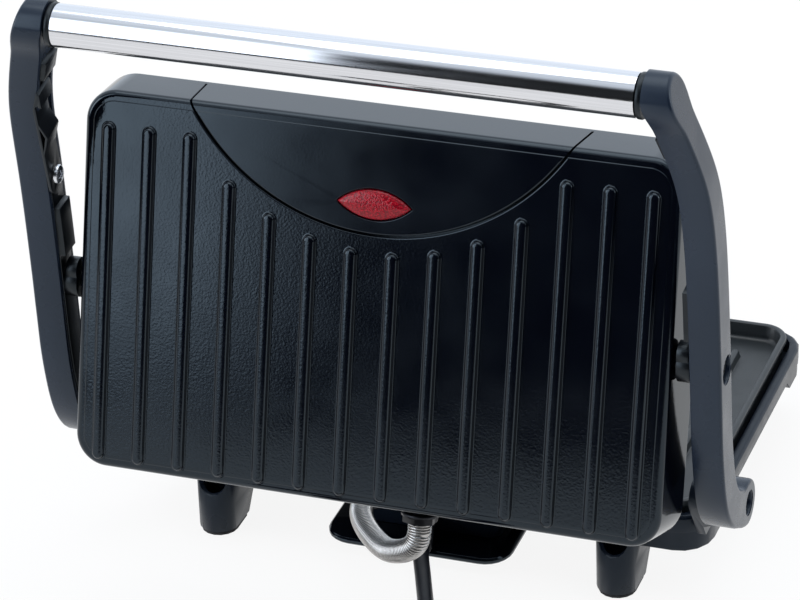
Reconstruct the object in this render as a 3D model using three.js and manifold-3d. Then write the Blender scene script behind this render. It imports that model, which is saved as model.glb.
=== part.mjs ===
// Contact grill with its lid raised and its arms upright.
// Millimetres, +X to the left of someone behind it, +Y towards its back, +Z up.
// The origin is on the surface that it stands on, under the middle of the grill.

import * as THREE from 'three';
import { mergeVertices } from 'three/addons/utils/BufferGeometryUtils.js';
import Module from 'manifold-3d';

const wasm = await Module();
wasm.setup();

const degree = Math.PI / 180;
const sides = [['left', 1], ['right', -1]];

// Clearances that all pieces share.
const gap = 0.3;
const overrun = 6;
const weldDepth = 0.8;

// Cooking plates, alike above and below; the housings and the arms follow their size.
const plateHalfWidth = 120.5;
const plateDepth = 156.5;
const plateCorner = 12;
const plateRimHeight = 11;
const plateLip = 3;
const plateLipOut = 1;
const plateWall = 2.8;
const plateSink = 7;
const plateFloor = 3;
const plateRibs = 11;
const plateRibMargin = 20.5;
const plateRibLength = 118;
const plateRibWidth = 4.2;
const plateRibHeight = 3.4;
const platePostInset = 32.5;
const platePostEndInset = 30.25;
const platePostRadius = 4;
const lowerPlateTop = 40.4;
const upperPlateRim = 28;

// Places of the two pivots and of the handle bar, seen from the side.
const pivotY = 52;
const pivotZ = 53;
const pivotBehindPlate = 12;
const barBack = 58;
const barRiseShare = 1.33227;
const lidPivotBackShare = 0.5948;
const lidPivotRiseShare = 0.3909;
const lidTilt = 14.7 * degree;
const closingTurn = 102.5 * degree;

// Carrying arms: a leaning channel between base pivot and bar.
const lidToArm = 8;
const armThickness = 12.8;
const armDepth = 15.8;
const armWall = 2.4;
const armEdge = 2.2;
const armBossRadius = 10;
const armEndRadius = 10.2;
const armBendShare = 0.8187;
const armLean = 17.2 * degree;
const armCentreShare = [
  [0, 0], [0.155, 0.012], [0.345, 0.046], [0.483, 0.11], [0.569, 0.216], [0.6, 0.32],
  [0.625, 0.43], [0.672, 0.58], [0.729, 0.695], [0.828, 0.825], [1, 1],
];
const armChannelShare = [0.17, 0.93];
const linerThickness = 2;
const linerPad = 2.4;
const lowerPadShare = [0.495, 0.595];
const upperPadShare = [0.885, 0.925];

// Screws of the pivots.
const hingeHeadRadius = 4.6;
const hingeHeadHeight = 3;
const hingeShankRadius = 3;
const hingeSocketDepth = 6;
const lidScrewHeadRadius = 5.3;
const lidScrewHeadHeight = 2.6;
const lidScrewRadius = 2.6;
const lidScrewReach = 24;
const armPostRadius = 5.5;
const bushRadius = 7.2;

// Handle bar, its collars and the rod inside it.
const barRadius = 8.75;
const barBore = 7;
const collarLength = 2.4;
const rodRadius = 3;
const rodEndDepth = 5.5;

// Lid housing, in its own frame: s runs up the raised lid, depth runs inwards.
const faceOut = 8.3;
const faceSideMargin = 4.5;
const faceEndMargin = 0.75;
const faceCorner = 13;
const faceEdge = 2.4;
const lidDraft = 3;
const lidRimDepth = 17;
const lidWall = 2.4;
const lidFlange = 2.4;
const lidPostInset = 24.5;
const lidPostEndInset = 26.25;
const shieldPostRadius = 4.5;

// Raised ribs of the lid face.
const lidRibs = 14;
const lidRibSideMargin = 10.6;
const lidRibWidth = 5.5;
const lidRibHeight = 2;
const lidRibStart = 3;
const lidRibTopMargin = 12.7;
const lidRibClear = 6.6;

// Half-moon panel and its lens.
const panelRadius = 93.6;
const panelHeight = 45;
const panelSeam = 0.3;
const panelLedge = 4;
const panelLedgeThickness = 1.8;
const lensRise = 12.3;
const lensLength = 31;
const lensHeight = 12;
const lensProud = 1.2;
const lensLip = 1.4;
const lensLipThickness = 1.4;
const lampRadius = 2.4;
const lampLength = 15;
const holderWall = 1.4;
const holderDepth = 9;

// Heating elements, shields and thermostats between plate and housing.
const elementRadius = 3.2;
const elementSideInset = 42.5;
const elementEndInset = 36.25;
const elementCorner = 20;
const elementTail = 14;
const shieldInset = 14;
const shieldThickness = 0.8;
const shieldDrop = 8.6;
const shieldRim = 4;
const thermostatRadius = 7.5;
const thermostatHeight = 11;
const thermostatX = 36;

// Base housing.
const baseSideMargin = 5.5;
const baseFrontMargin = 3.7;
const baseBackMargin = 5;
const baseCorner = 15;
const baseRimTop = 36;
const bandBottom = 28.5;
const baseRimWidth = 4;
const baseLedgeInset = 11;
const baseEdge = 1.2;
const bellyBottom = 13.5;
const bellyInset = 16;
const bellyFloor = 2.4;
const skirtBottom = 19;
const frontSkirtBottom = 22.5;
const skirtWall = 2.6;
const skirtSetIn = 0.5;
const sideArchFrontInset = 32.2;
const sideArchBackInset = 33;
const frontArchInset = 44;
const archSlope = 14;
const ventCount = 6;
const ventPitch = 14;
const ventLength = 60;
const ventWidth = 4;

// Feet.
const padHeight = 1.6;
const rearFootInset = 37;
const rearFootHalf = 8.8;
const rearFootBehind = 13;
const rearFootLength = 20.5;
const rearFootRake = 9;
const rearFootHeight = 26.6;
const rearFootWall = 2.6;
const rearFootFloor = 12;
const footCorner = 7.5;
const scoopZ = 26.1;
const frontFootInset = 20.5;
const frontFootFrontInset = 10;
const frontFootTop = 9.4;
const frontFootFoot = 8.6;

// Hinge lugs and the ledge that the latch hooks under.
const lugThickness = 10.2;
const lugRadius = 7.2;
const lugFront = 10;
const lugBottom = 30;
const lugFlare = 8;
const lugTop = 34;
const lugArcStart = -20 * degree;
const lugArcEnd = 205 * degree;
const catchHalf = 5;
const catchReach = 4.8;
const catchHeight = 3.4;

// Wiring block at the rear, its cover with the flange, and what is in it.
const blockHalfWidth = 33;
const blockFront = 4;
const blockBack = 37;
const blockBottom = 6.8;
const blockDraft = 4;
const blockWall = 2.4;
const coverHalfWidth = 41;
const coverFront = 8;
const coverBack = 54;
const coverCorner = 12;
const coverThickness = 3;
const coverEdge = 0.9;
const terminalLength = 34;
const terminalWidth = 12;
const terminalHeight = 11;
const terminalWays = 3;

// Storage latch on the left arm.
const latchRiseShare = 0.6427;
const latchBackShare = 0.7414;
const latchLean = 12.5 * degree;
const latchWidth = 12;
const latchStrip = 1.2;
const latchProud = 2.8;
const latchTailLength = 9;
const latchLengthShare = 0.22062;
const latchWaistShare = 0.3043;
const latchLoopCornerShare = 0.4935;
const latchLoopTopShare = 0.6457;
const latchTabRootShare = 0.8;
const latchToothShare = 0.837;
const latchWeb = 1;
const latchScrewRadius = 2;
const latchHeadRadius = 4;
const latchHeadHeight = 1.9;
const latchScrewReach = 8;

// Conduit that carries the wires from base to lid.
const conduitRadius = 5;
const conduitBore = 3.7;
const conduitRibHeight = 0.45;
const conduitRibPitch = 1.45;
const conduitX = 21;
const conduitZ = 26;
const conduitLidX = 21.5;
const conduitLidDepth = 6.4;
const conduitSides = 8;
const conduitSlack = [-2.9, 11.5, -8.2];
const conduitSlope = [-7.6, 9, 5.6];
const conduitBasePull = 12;
const conduitLidPull = 8;
const ferruleFlange = 1.5;
const ferruleLength = 4.4;
const ferruleRadius = 8;
const ferruleNut = 7.4;
const wireHole = 3;

// Power cord and what is on it.
const cordRadius = 3.4;
const cordExitZ = 13;
const cordExitTurn = 16.7 * degree;
const cordExitDip = 2.9 * degree;
const reliefLength = 22;
const reliefStart = 5.8;
const reliefEnd = 4.3;
const reliefRings = 4;
const coilX = 2;
const coilY = 156;
const coilOuter = 44;
const coilTurns = 3.25;
const coilReverse = 1.625;
const coilClimbTurns = 0.5;
const coilPitch = 7.4;
const coilLayer = 7.4;
const coilStartAngle = 199.6 * degree;
const leadShares = [
  [0.169, 0.185, 0.37], [0.292, 0.303, 0.781], [0.431, 0.437, 0.986], [0.606, 0.601, 1], [0.775, 0.772, 1],
];
const tailShares = [[0.385, 0.408, 0.254], [0.672, 0.76, 0.762]];
const tieWall = 0.9;
const tieWidth = 5;
const tieTurn = 0.4;
const plugRadius = 18;
const plugLength = 34;
const plugNeck = 12;
const plugNeckRadius = 6;
const pinRadius = 2.4;
const pinLength = 19;
const pinSpread = 19;
const plugAside = 34;
const plugBehind = 14.5;
const plugTurn = 9.8 * degree;

// Widths that follow from the ones above.
const faceHalfWidth = plateHalfWidth + faceSideMargin;
const baseHalfWidth = plateHalfWidth + baseSideMargin;
const armInnerX = faceHalfWidth + lidToArm;
const armOuterX = armInnerX + armThickness;
const barY = pivotY + barBack;
const barRise = plateDepth * barRiseShare;
const barZ = pivotZ + barRise;
const armTopZ = barZ + armEndRadius + overrun;
const bendZ = pivotZ + barRise * armBendShare;
const barHalfLength = armInnerX - (barZ - bendZ) * Math.tan(armLean) - collarLength - 2 * gap;
const lugInnerX = armInnerX - gap - lugThickness;
const rearFootX = baseHalfWidth - rearFootInset;
const frontFootX = baseHalfWidth - frontFootInset;

// Depths and heights that follow.
const plateBackY = pivotY - pivotBehindPlate;
const plateFront = plateDepth - plateBackY;
const plateMidY = plateBackY - plateDepth / 2;
const platePostX = plateHalfWidth - platePostInset;
const platePostY = plateDepth / 2 - platePostEndInset;
const baseFront = plateFront + baseFrontMargin;
const baseBack = plateBackY + baseBackMargin;
const frontFootY = baseFront - frontFootFrontInset;
const lidPivotBack = barBack * lidPivotBackShare;
const lidPivotRise = barRise * lidPivotRiseShare;
const lidPivotY = pivotY + lidPivotBack;
const lidPivotZ = pivotZ + lidPivotRise;
const latchBack = barBack * latchBackShare;
const latchRise = barRise * latchRiseShare;
const latchLength = barRise * latchLengthShare;
const latchWaist = latchLength * latchWaistShare;
const latchLoopCorner = latchLength * latchLoopCornerShare;
const latchLoopTop = latchLength * latchLoopTopShare;
const latchTabRoot = latchLength * latchTabRootShare;
const latchTooth = latchLength * latchToothShare;
const lidRadius = Math.hypot(lidPivotBack, lidPivotRise);
const closedAngle = Math.atan2(lidPivotRise, lidPivotBack) + closingTurn;
const closedLidPivotY = pivotY + lidRadius * Math.cos(closedAngle);
const faceBottom = plateBackY - closedLidPivotY + faceEndMargin;
const faceTop = closedLidPivotY + plateFront + faceEndMargin;
const lidRibPitch = (2 * (faceHalfWidth - lidRibSideMargin)) / (lidRibs - 1);
const panelLowest = faceTop - panelHeight;
const lensS = panelLowest + lensRise;
const panelCentre = panelLowest + panelRadius;
const panelBack = lidWall - faceOut;
const plateBackDepth = plateSink + plateFloor;
const cordFloorZ = cordRadius + tieWall + gap;

// Frame of the raised lid: x across, y up the lid, z inwards to the food.
const lidFrame = new THREE.Matrix4().makeRotationX(Math.PI / 2 + lidTilt);
lidFrame.setPosition(0, lidPivotY, lidPivotZ);

function lidPoint(x, s, depth) {
  return new THREE.Vector3(x, s, depth).applyMatrix4(lidFrame);
}

// Turns a flat outline's x, y and depth into the object's Y, Z and X.
const sideView = new THREE.Matrix4().makeBasis(
  new THREE.Vector3(0, 1, 0),
  new THREE.Vector3(0, 0, 1),
  new THREE.Vector3(1, 0, 0),
);

// Turns a flat outline's x, y and depth into the object's X, Z and minus Y.
const rearView = new THREE.Matrix4().makeBasis(
  new THREE.Vector3(1, 0, 0),
  new THREE.Vector3(0, 0, 1),
  new THREE.Vector3(0, -1, 0),
);

// Joining and cutting of closed meshes.

function solid(geometry) {
  const bare = geometry.index ? geometry.toNonIndexed() : geometry.clone();
  bare.deleteAttribute('normal');
  bare.deleteAttribute('uv');
  const merged = mergeVertices(bare, 1e-4);
  const index = merged.index.array;
  const corners = [];
  for (let i = 0; i < index.length; i += 3) {
    const [a, b, c] = index.subarray(i, i + 3);
    if (a !== b && b !== c && c !== a) {
      corners.push(a, b, c);
    }
  }
  return new wasm.Manifold(new wasm.Mesh({
    numProp: 3,
    vertProperties: merged.attributes.position.array,
    triVerts: Uint32Array.from(corners),
  }));
}

function surface(body) {
  const mesh = body.getMesh();
  const geometry = new THREE.BufferGeometry();
  geometry.setAttribute('position', new THREE.BufferAttribute(mesh.vertProperties, 3));
  geometry.setIndex(new THREE.BufferAttribute(mesh.triVerts, 1));
  const flat = geometry.toNonIndexed();
  flat.computeVertexNormals();
  return flat;
}

function join(...bodies) {
  return bodies.reduce((whole, body) => whole.add(body));
}

function cut(body, ...tools) {
  return tools.reduce((rest, tool) => rest.subtract(tool), body);
}

function mirrored(geometry) {
  const copy = geometry.clone();
  const place = copy.attributes.position;
  for (let i = 0; i < place.count; i += 3) {
    const corners = [0, 2, 1].map(
      (k) => new THREE.Vector3().fromBufferAttribute(geometry.attributes.position, i + k));
    corners.forEach((p, k) => place.setXYZ(i + k, -p.x, p.y, p.z));
  }
  copy.computeVertexNormals();
  return copy;
}

// Simple bodies.

function moved(geometry, x, y, z) {
  geometry.translate(x, y, z);
  return geometry;
}

function block(x0, x1, y0, y1, z0, z1) {
  const box = new THREE.BoxGeometry(x1 - x0, y1 - y0, z1 - z0);
  return solid(moved(box, (x0 + x1) / 2, (y0 + y1) / 2, (z0 + z1) / 2));
}

function rodAlongX(radius, x0, x1, y, z, steps = 16) {
  const rod = new THREE.CylinderGeometry(radius, radius, x1 - x0, steps);
  rod.rotateZ(Math.PI / 2);
  return solid(moved(rod, (x0 + x1) / 2, y, z));
}

function rodAlongY(radius, y0, y1, x, z, steps = 24) {
  const rod = new THREE.CylinderGeometry(radius, radius, y1 - y0, steps);
  return solid(moved(rod, x, (y0 + y1) / 2, z));
}

function rodAlongZ(radius, z0, z1, x, y, steps = 24) {
  const rod = new THREE.CylinderGeometry(radius, radius, z1 - z0, steps);
  rod.rotateX(Math.PI / 2);
  return solid(moved(rod, x, y, (z0 + z1) / 2));
}

// A flat outline given depth, with its long edges rounded by `edge` inside it.
function slab(shape, depth, edge = 0, rounding = 2, curve = 8) {
  const geometry = new THREE.ExtrudeGeometry(shape, {
    depth: depth - 2 * edge,
    bevelEnabled: edge > 0,
    bevelThickness: edge,
    bevelSize: edge,
    bevelOffset: -edge,
    bevelSegments: rounding,
    curveSegments: curve,
  });
  return moved(geometry, 0, 0, edge);
}

function polygon(points) {
  return new THREE.Shape(points.map(([x, y]) => new THREE.Vector2(x, y)));
}

function disc(radius, x = 0, y = 0) {
  return new THREE.Shape().absarc(x, y, radius, 0, 2 * Math.PI, false);
}

function stadium(width, x, y0, y1) {
  const half = width / 2;
  const shape = new THREE.Shape();
  shape.absarc(x, y1 - half, half, 0, Math.PI, false);
  shape.absarc(x, y0 + half, half, Math.PI, 2 * Math.PI, false);
  return shape;
}

function cornered(x0, x1, y0, y1, radius) {
  const shape = new THREE.Shape();
  shape.absarc(x1 - radius, y1 - radius, radius, 0, Math.PI / 2, false);
  shape.absarc(x0 + radius, y1 - radius, radius, Math.PI / 2, Math.PI, false);
  shape.absarc(x0 + radius, y0 + radius, radius, Math.PI, 1.5 * Math.PI, false);
  shape.absarc(x1 - radius, y0 + radius, radius, 1.5 * Math.PI, 2 * Math.PI, false);
  return shape;
}

// Joins rings of equal count, each an array of points, with flat ends.
function skin(rings) {
  const count = rings[0].length;
  const places = [];
  const face = (a, b, c) => places.push(...a, ...b, ...c);
  for (let k = 1; k < rings.length; k += 1) {
    for (let i = 0; i < count; i += 1) {
      const j = (i + 1) % count;
      face(rings[k - 1][i], rings[k - 1][j], rings[k][j]);
      face(rings[k - 1][i], rings[k][j], rings[k][i]);
    }
  }
  const first = rings[0];
  const last = rings[rings.length - 1];
  for (let i = 1; i < count - 1; i += 1) {
    face(first[0], first[i + 1], first[i]);
    face(last[0], last[i], last[i + 1]);
  }
  const geometry = new THREE.BufferGeometry();
  geometry.setAttribute('position', new THREE.Float32BufferAttribute(places, 3));
  geometry.computeVertexNormals();
  return geometry;
}

// A tray-like form: rings of one rounded outline at rising heights, each grown or drawn in.
function tray(outline, levels, steps = 4) {
  const rings = levels.map(([z, grow]) => {
    const radius = Math.max(outline.corner + grow, outline.corner * 0.2);
    const shape = cornered(
      outline.x0 - grow, outline.x1 + grow, outline.y0 - grow, outline.y1 + grow, radius);
    const points = [];
    for (const arc of shape.curves.filter((curve) => curve.isEllipseCurve)) {
      points.push(...arc.getPoints(steps));
    }
    return points.map((p) => [p.x, p.y, z]);
  });
  return solid(skin(rings));
}

function tube(path, radius, steps, around) {
  const section = new THREE.Shape();
  for (let i = 0; i < around; i += 1) {
    const turn = (2 * Math.PI * i) / around;
    const place = [radius * Math.cos(turn), radius * Math.sin(turn)];
    if (i === 0) {
      section.moveTo(...place);
    } else {
      section.lineTo(...place);
    }
  }
  section.closePath();
  return new THREE.ExtrudeGeometry(section, { steps, bevelEnabled: false, extrudePath: path });
}

// Carrying arms.

const armCurve = new THREE.SplineCurve(
  armCentreShare.map(([back, rise]) => new THREE.Vector2(back * barBack, rise * barRise)));

// The arm's strip between two shares of its length, as a flat outline round its centre curve.
function armStrip(half, from, to, steps) {
  const front = [];
  const back = [];
  for (let i = 0; i <= steps; i += 1) {
    const share = from + ((to - from) * i) / steps;
    const point = armCurve.getPointAt(share);
    const along = armCurve.getTangentAt(share);
    back.push([pivotY + point.x + along.y * half, pivotZ + point.y - along.x * half]);
    front.push([pivotY + point.x - along.y * half, pivotZ + point.y + along.x * half]);
  }
  return polygon([...back, ...front.reverse()]);
}

// A wall that stands upright to the bend and leans inwards above it.
function leaning(x0, x1) {
  const shift = (armTopZ - bendZ) * Math.tan(armLean);
  const outline = polygon([
    [x0, -overrun], [x1, -overrun], [x1, bendZ], [x1 - shift, armTopZ], [x0 - shift, armTopZ], [x0, bendZ],
  ]);
  const wall = slab(outline, 2 * barY);
  wall.applyMatrix4(rearView);
  return solid(moved(wall, 0, 2 * barY - overrun, 0));
}

function armSlab(shape, edge, steps = 8) {
  const reach = armOuterX - barHalfLength + overrun;
  const geometry = slab(shape, reach, edge, 2, steps);
  geometry.applyMatrix4(sideView);
  return solid(moved(geometry, armOuterX - reach, 0, 0));
}

function armShell() {
  const half = armDepth / 2;
  const whole = join(
    armSlab(armStrip(half, 0, 1, 16), armEdge),
    armSlab(disc(armEndRadius, barY, barZ), armEdge, 11),
    armSlab(disc(armBossRadius, pivotY, pivotZ), armEdge, 11),
  ).intersect(leaning(armInnerX, armOuterX));
  const room = armSlab(armStrip(half - armWall, ...armChannelShare, 10), 0);
  const postStart = armInnerX + linerThickness + gap;
  const channel = cut(
    room.intersect(leaning(armInnerX - overrun, armOuterX - armWall)),
    rodAlongX(armPostRadius, postStart, armOuterX, lidPivotY, lidPivotZ, 14),
    rodAlongX(latchHeadRadius, postStart, armOuterX, pivotY + latchBack, pivotZ + latchRise, 12),
  );
  const collarEnd = barHalfLength + gap + collarLength + gap;
  const barSide = block(0, collarEnd, barY - barBack, barY + barBack, bendZ, armTopZ + overrun);
  return cut(
    whole,
    channel,
    barSide,
    rodAlongX(hingeShankRadius + gap, armInnerX - overrun, armOuterX + overrun, pivotY, pivotZ),
    rodAlongX(hingeHeadRadius + gap, armOuterX - hingeSocketDepth, armOuterX + overrun, pivotY, pivotZ),
    rodAlongX(lidScrewRadius + gap, armInnerX - overrun, armOuterX + overrun, lidPivotY, lidPivotZ),
    rodAlongX(lidScrewHeadRadius + gap, armOuterX - lidScrewHeadHeight - gap, armOuterX + overrun,
      lidPivotY, lidPivotZ),
    rodAlongX(latchScrewRadius + gap, armInnerX - overrun, armInnerX + latchScrewReach + gap,
      pivotY + latchBack, pivotZ + latchRise, 12),
    rodAlongX(rodRadius + gap, barHalfLength - overrun, collarEnd + rodEndDepth, barY, barZ),
  );
}

function armLiner() {
  const half = armDepth / 2 - armWall - gap;
  const [from, to] = armChannelShare;
  const endGap = gap / armCurve.getLength();
  const panel = armSlab(armStrip(half, from + endGap, to - endGap, 10), 0);
  const padWall = leaning(armInnerX - linerPad, armInnerX + weldDepth);
  const pads = [lowerPadShare, upperPadShare].map(
    ([low, high]) => armSlab(armStrip(half, low, high, 4), 0).intersect(padWall));
  return cut(
    join(panel.intersect(leaning(armInnerX, armInnerX + linerThickness)), ...pads),
    rodAlongX(lidScrewRadius + gap, armInnerX - overrun, armOuterX, lidPivotY, lidPivotZ, 12),
    rodAlongX(latchScrewRadius + gap, armInnerX - overrun, armOuterX,
      pivotY + latchBack, pivotZ + latchRise, 12),
  );
}

// A screw whose head faces outwards along +X.
function screwAlongX(headRadius, headHeight, shankRadius, x0, headX, y, z) {
  return join(
    rodAlongX(shankRadius, x0, headX + weldDepth, y, z, 12),
    rodAlongX(headRadius, headX, headX + headHeight, y, z, 16),
  );
}

function hingeScrew() {
  const head = armOuterX - hingeSocketDepth + gap;
  return screwAlongX(hingeHeadRadius, hingeHeadHeight, hingeShankRadius, lugInnerX + gap, head,
    pivotY, pivotZ);
}

function lidPivotScrew() {
  const head = armOuterX - lidScrewHeadHeight;
  return screwAlongX(lidScrewHeadRadius, lidScrewHeadHeight - gap, lidScrewRadius, head - lidScrewReach, head,
    lidPivotY, lidPivotZ);
}

// Bearing lump between lid and arm, with the ear that keeps it from turning.
function pivotBush() {
  const wallX = faceHalfWidth + lidGrow(bushRadius) + gap;
  const ear = bushRadius * 0.72;
  const outer = join(
    rodAlongX(bushRadius, wallX, armInnerX - gap, 0, 0, 20),
    rodAlongX(ear, wallX, armInnerX - gap - weldDepth, bushRadius * 0.7, -bushRadius * 0.35, 16),
  );
  return cut(outer, rodAlongX(lidScrewRadius + gap, wallX - overrun, armInnerX + overrun, 0, 0, 12));
}

// Handle bar.

function handleBar() {
  return cut(
    rodAlongX(barRadius, -barHalfLength, barHalfLength, barY, barZ, 40),
    rodAlongX(barBore, -barHalfLength - overrun, barHalfLength + overrun, barY, barZ, 24),
  );
}

function barCollar() {
  const start = barHalfLength + gap;
  const spigot = rodAlongX(barBore - gap, start - collarLength, start + weldDepth, barY, barZ, 16);
  const ring = rodAlongX(barRadius, start, start + collarLength, barY, barZ, 24);
  return cut(join(ring, spigot), rodAlongX(rodRadius + gap, 0, armOuterX, barY, barZ, 16));
}

function handleRod() {
  const end = barHalfLength + 2 * gap + collarLength + rodEndDepth - gap;
  return rodAlongX(rodRadius, -end, end, barY, barZ, 16);
}

// Storage latch: a bent strip with a stiffening loop and a hooked finger tab.

function latchLever() {
  const inner = -latchStrip;
  const proud = inner - latchProud;
  const bent = (latchTabRoot - latchLength) * Math.tan(armLean);
  const notch = inner - latchProud / 2;
  const side = polygon([
    [0, -latchTailLength], [0, latchTabRoot], [bent, latchLength], [proud, latchLength - latchWeb],
    [proud, latchTooth], [notch, latchTooth], [notch, latchTooth + latchWeb], [inner, latchTooth],
    [inner, latchLoopTop], [proud, latchLoopCorner + latchWeb], [proud, latchLoopCorner],
    [inner, latchWaist], [inner, -latchTailLength],
  ]);
  side.holes.push(polygon([
    [inner, latchWaist + latchWeb * 2], [inner, latchLoopTop - latchWeb * 2],
    [proud + latchWeb, latchLoopCorner + latchWeb / 2],
  ]));
  const strip = slab(side, latchWidth);
  strip.applyMatrix4(rearView);
  const blank = solid(moved(strip, 0, latchWidth / 2, 0));
  const outline = slab(stadium(latchWidth, 0, -latchTailLength, latchLength + latchWidth / 3), armThickness);
  outline.applyMatrix4(sideView);
  const rounded = blank.intersect(solid(moved(outline, -armThickness + overrun, 0, 0)));
  return cut(rounded, rodAlongX(latchScrewRadius + gap, -overrun, overrun, 0, 0, 16));
}

function latchScrew() {
  const head = latchStrip + gap * 2;
  const screw = screwAlongX(latchHeadRadius, latchHeadHeight, latchScrewRadius, -latchScrewReach, head, 0, 0);
  return screw;
}

// Lid housing.

const lidOutline = {
  x0: -faceHalfWidth, x1: faceHalfWidth, y0: -faceBottom, y1: faceTop, corner: faceCorner,
};

function lidGrow(depth) {
  return (lidDraft * (depth + faceOut)) / (faceOut + lidRimDepth);
}

// Flat spot on the drafted hinge wall of the lid, where the conduit's fitting sits.
function conduitSeat() {
  return -faceBottom - lidGrow(conduitLidDepth + ferruleRadius);
}

function lidShell() {
  const outer = tray(lidOutline, [
    [-faceOut, -faceEdge],
    [-faceOut + faceEdge * 0.3, -faceEdge * 0.3],
    [-faceOut + faceEdge, lidGrow(-faceOut + faceEdge)],
    [lidRimDepth - weldDepth, lidGrow(lidRimDepth)],
    [lidRimDepth, lidGrow(lidRimDepth) - weldDepth],
  ], 5);
  const room = tray(lidOutline, [
    [panelBack, -lidWall - faceEdge / 2],
    [panelBack + faceEdge / 2, -lidWall],
    [lidRimDepth - gap - lidFlange, lidGrow(lidRimDepth) - lidWall],
  ]);
  const mouth = tray(plateOutline(-1), [
    [0, -plateWall - plateLipOut * 2 - weldDepth],
    [lidRimDepth + overrun, -plateWall - plateLipOut * 2 - weldDepth],
  ]);
  const seat = tray(plateOutline(-1), [
    [lidRimDepth - gap, gap * 2],
    [lidRimDepth + overrun, gap * 2],
  ]);
  return cut(outer, room, mouth, seat);
}

function lidRib(x) {
  const full = faceTop - lidRibTopMargin;
  const arc = Math.sqrt(Math.max((panelRadius + lidRibClear) ** 2 - x ** 2, 0));
  const underPanel = arc > 0 ? panelCentre - arc : full;
  const outline = stadium(lidRibWidth, x, lidRibStart - faceBottom, Math.min(full, underPanel));
  const bar = slab(outline, 2 * lidRibHeight, lidRibHeight * 0.8, 1, 2);
  return solid(moved(bar, 0, 0, -faceOut - lidRibHeight));
}

function panelDisc(radius, z0, z1) {
  return rodAlongZ(radius, z0, z1, 0, panelCentre, 84);
}

function lidHousing() {
  const ribs = [];
  for (let i = 0; i < lidRibs; i += 1) {
    ribs.push(lidRib((i - (lidRibs - 1) / 2) * lidRibPitch));
  }
  const hole = panelDisc(panelRadius + panelSeam, -faceOut - overrun, lidRimDepth - lidFlange);
  const shell = cut(lidShell(), hole);
  const inside = tray(lidOutline, [
    [panelBack - weldDepth, -lidWall - faceEdge / 2],
    [lidRimDepth - lidFlange, lidGrow(lidRimDepth) - lidWall - gap],
  ]);
  const seatZ = panelBack + gap;
  const ledge = cut(
    join(
      panelDisc(panelRadius + panelLedge, seatZ, seatZ + panelLedgeThickness),
      cut(
        panelDisc(panelRadius + panelLedge, panelBack - weldDepth / 2, seatZ + weldDepth),
        panelDisc(panelRadius + panelSeam + gap, panelBack - weldDepth, seatZ),
      ),
    ),
    panelDisc(panelRadius - panelLedge, -faceOut - overrun, lidRimDepth),
  ).intersect(inside);
  const posts = [];
  const postX = plateHalfWidth - lidPostInset;
  const postS = plateDepth / 2 - lidPostEndInset;
  for (const x of [-postX, postX]) {
    for (const s of [-postS, postS]) {
      posts.push(rodAlongZ(shieldPostRadius, panelBack - weldDepth, shieldDepth('upper') - gap,
        x, s, 10));
    }
  }
  const pivotPosts = sides.map(([, side]) => {
    const wallX = faceHalfWidth + lidGrow(0) - lidWall / 2;
    const inner = faceHalfWidth - overrun * 2;
    return rodAlongX(bushRadius, side > 0 ? inner : -wallX, side > 0 ? wallX : -inner, 0, 0, 14);
  });
  const screwHoles = sides.map(([, side]) => {
    const near = faceHalfWidth - overrun * 3;
    const far = faceHalfWidth + overrun;
    return rodAlongX(lidScrewRadius + gap, side > 0 ? near : -far, side > 0 ? far : -near, 0, 0, 12);
  });
  const seat = rodAlongY(ferruleRadius, conduitSeat(), -faceBottom - lidWall / 2,
    -conduitLidX, conduitLidDepth);
  const wires = rodAlongY(wireHole, conduitSeat() - overrun, overrun - faceBottom,
    -conduitLidX, conduitLidDepth, 12);
  return cut(join(shell, ledge, seat, ...ribs, ...posts, ...pivotPosts), ...screwHoles, wires);
}

function lensOutline(grow) {
  const half = lensLength / 2 + grow;
  const high = lensHeight / 2 + grow;
  const radius = (half ** 2 + high ** 2) / (2 * high);
  const spread = Math.asin(half / radius);
  const shape = new THREE.Shape();
  shape.absarc(0, lensS + high - radius, radius, Math.PI / 2 - spread, Math.PI / 2 + spread, false);
  shape.absarc(0, lensS - high + radius, radius, 1.5 * Math.PI - spread, 1.5 * Math.PI + spread, false);
  return shape;
}

function lidPanel() {
  const window = slab(lensOutline(gap), lidWall + 2 * overrun, 0, 1, 5);
  return cut(
    lidShell().intersect(panelDisc(panelRadius, -faceOut - overrun, lidRimDepth - lidFlange - gap * 2)),
    solid(moved(window, 0, 0, -faceOut - overrun)),
  );
}

function indicatorLens() {
  const dome = slab(lensOutline(0), lensProud + lidWall + lensLipThickness, lensProud, 2, 5);
  const lip = slab(lensOutline(lensLip), lensLipThickness, 0, 1, 5);
  return join(
    solid(moved(dome, 0, 0, -faceOut - lensProud)),
    solid(moved(lip, 0, 0, panelBack + gap)),
  );
}

const holderTop = panelBack + gap * 2 + lensLipThickness;

function lampHolder() {
  const cup = slab(lensOutline(lensLip), holderDepth, 0, 1, 5);
  const well = slab(lensOutline(lensLip - holderWall), holderDepth, 0, 1, 5);
  return cut(
    solid(moved(cup, 0, 0, holderTop)),
    solid(moved(well, 0, 0, holderTop - holderWall)),
  );
}

function indicatorLamp() {
  const bulb = new THREE.CapsuleGeometry(lampRadius, lampLength - 2 * lampRadius, 3, 10);
  bulb.rotateZ(Math.PI / 2);
  const seat = holderTop + holderDepth - holderWall - gap - lampRadius;
  return solid(moved(bulb, 0, lensS, seat));
}

// Cooking plates. The rim's top is at zero and the back of the plate is below it.

// Outline of a plate: below with the object's own Y, above in the lid's frame.
function plateOutline(direction) {
  const frontEnd = direction > 0 ? -plateFront : closedLidPivotY - plateBackY;
  const backEnd = direction > 0 ? plateBackY : closedLidPivotY + plateFront;
  return {
    x0: -plateHalfWidth, x1: plateHalfWidth, y0: frontEnd, y1: backEnd, corner: plateCorner,
  };
}

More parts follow.
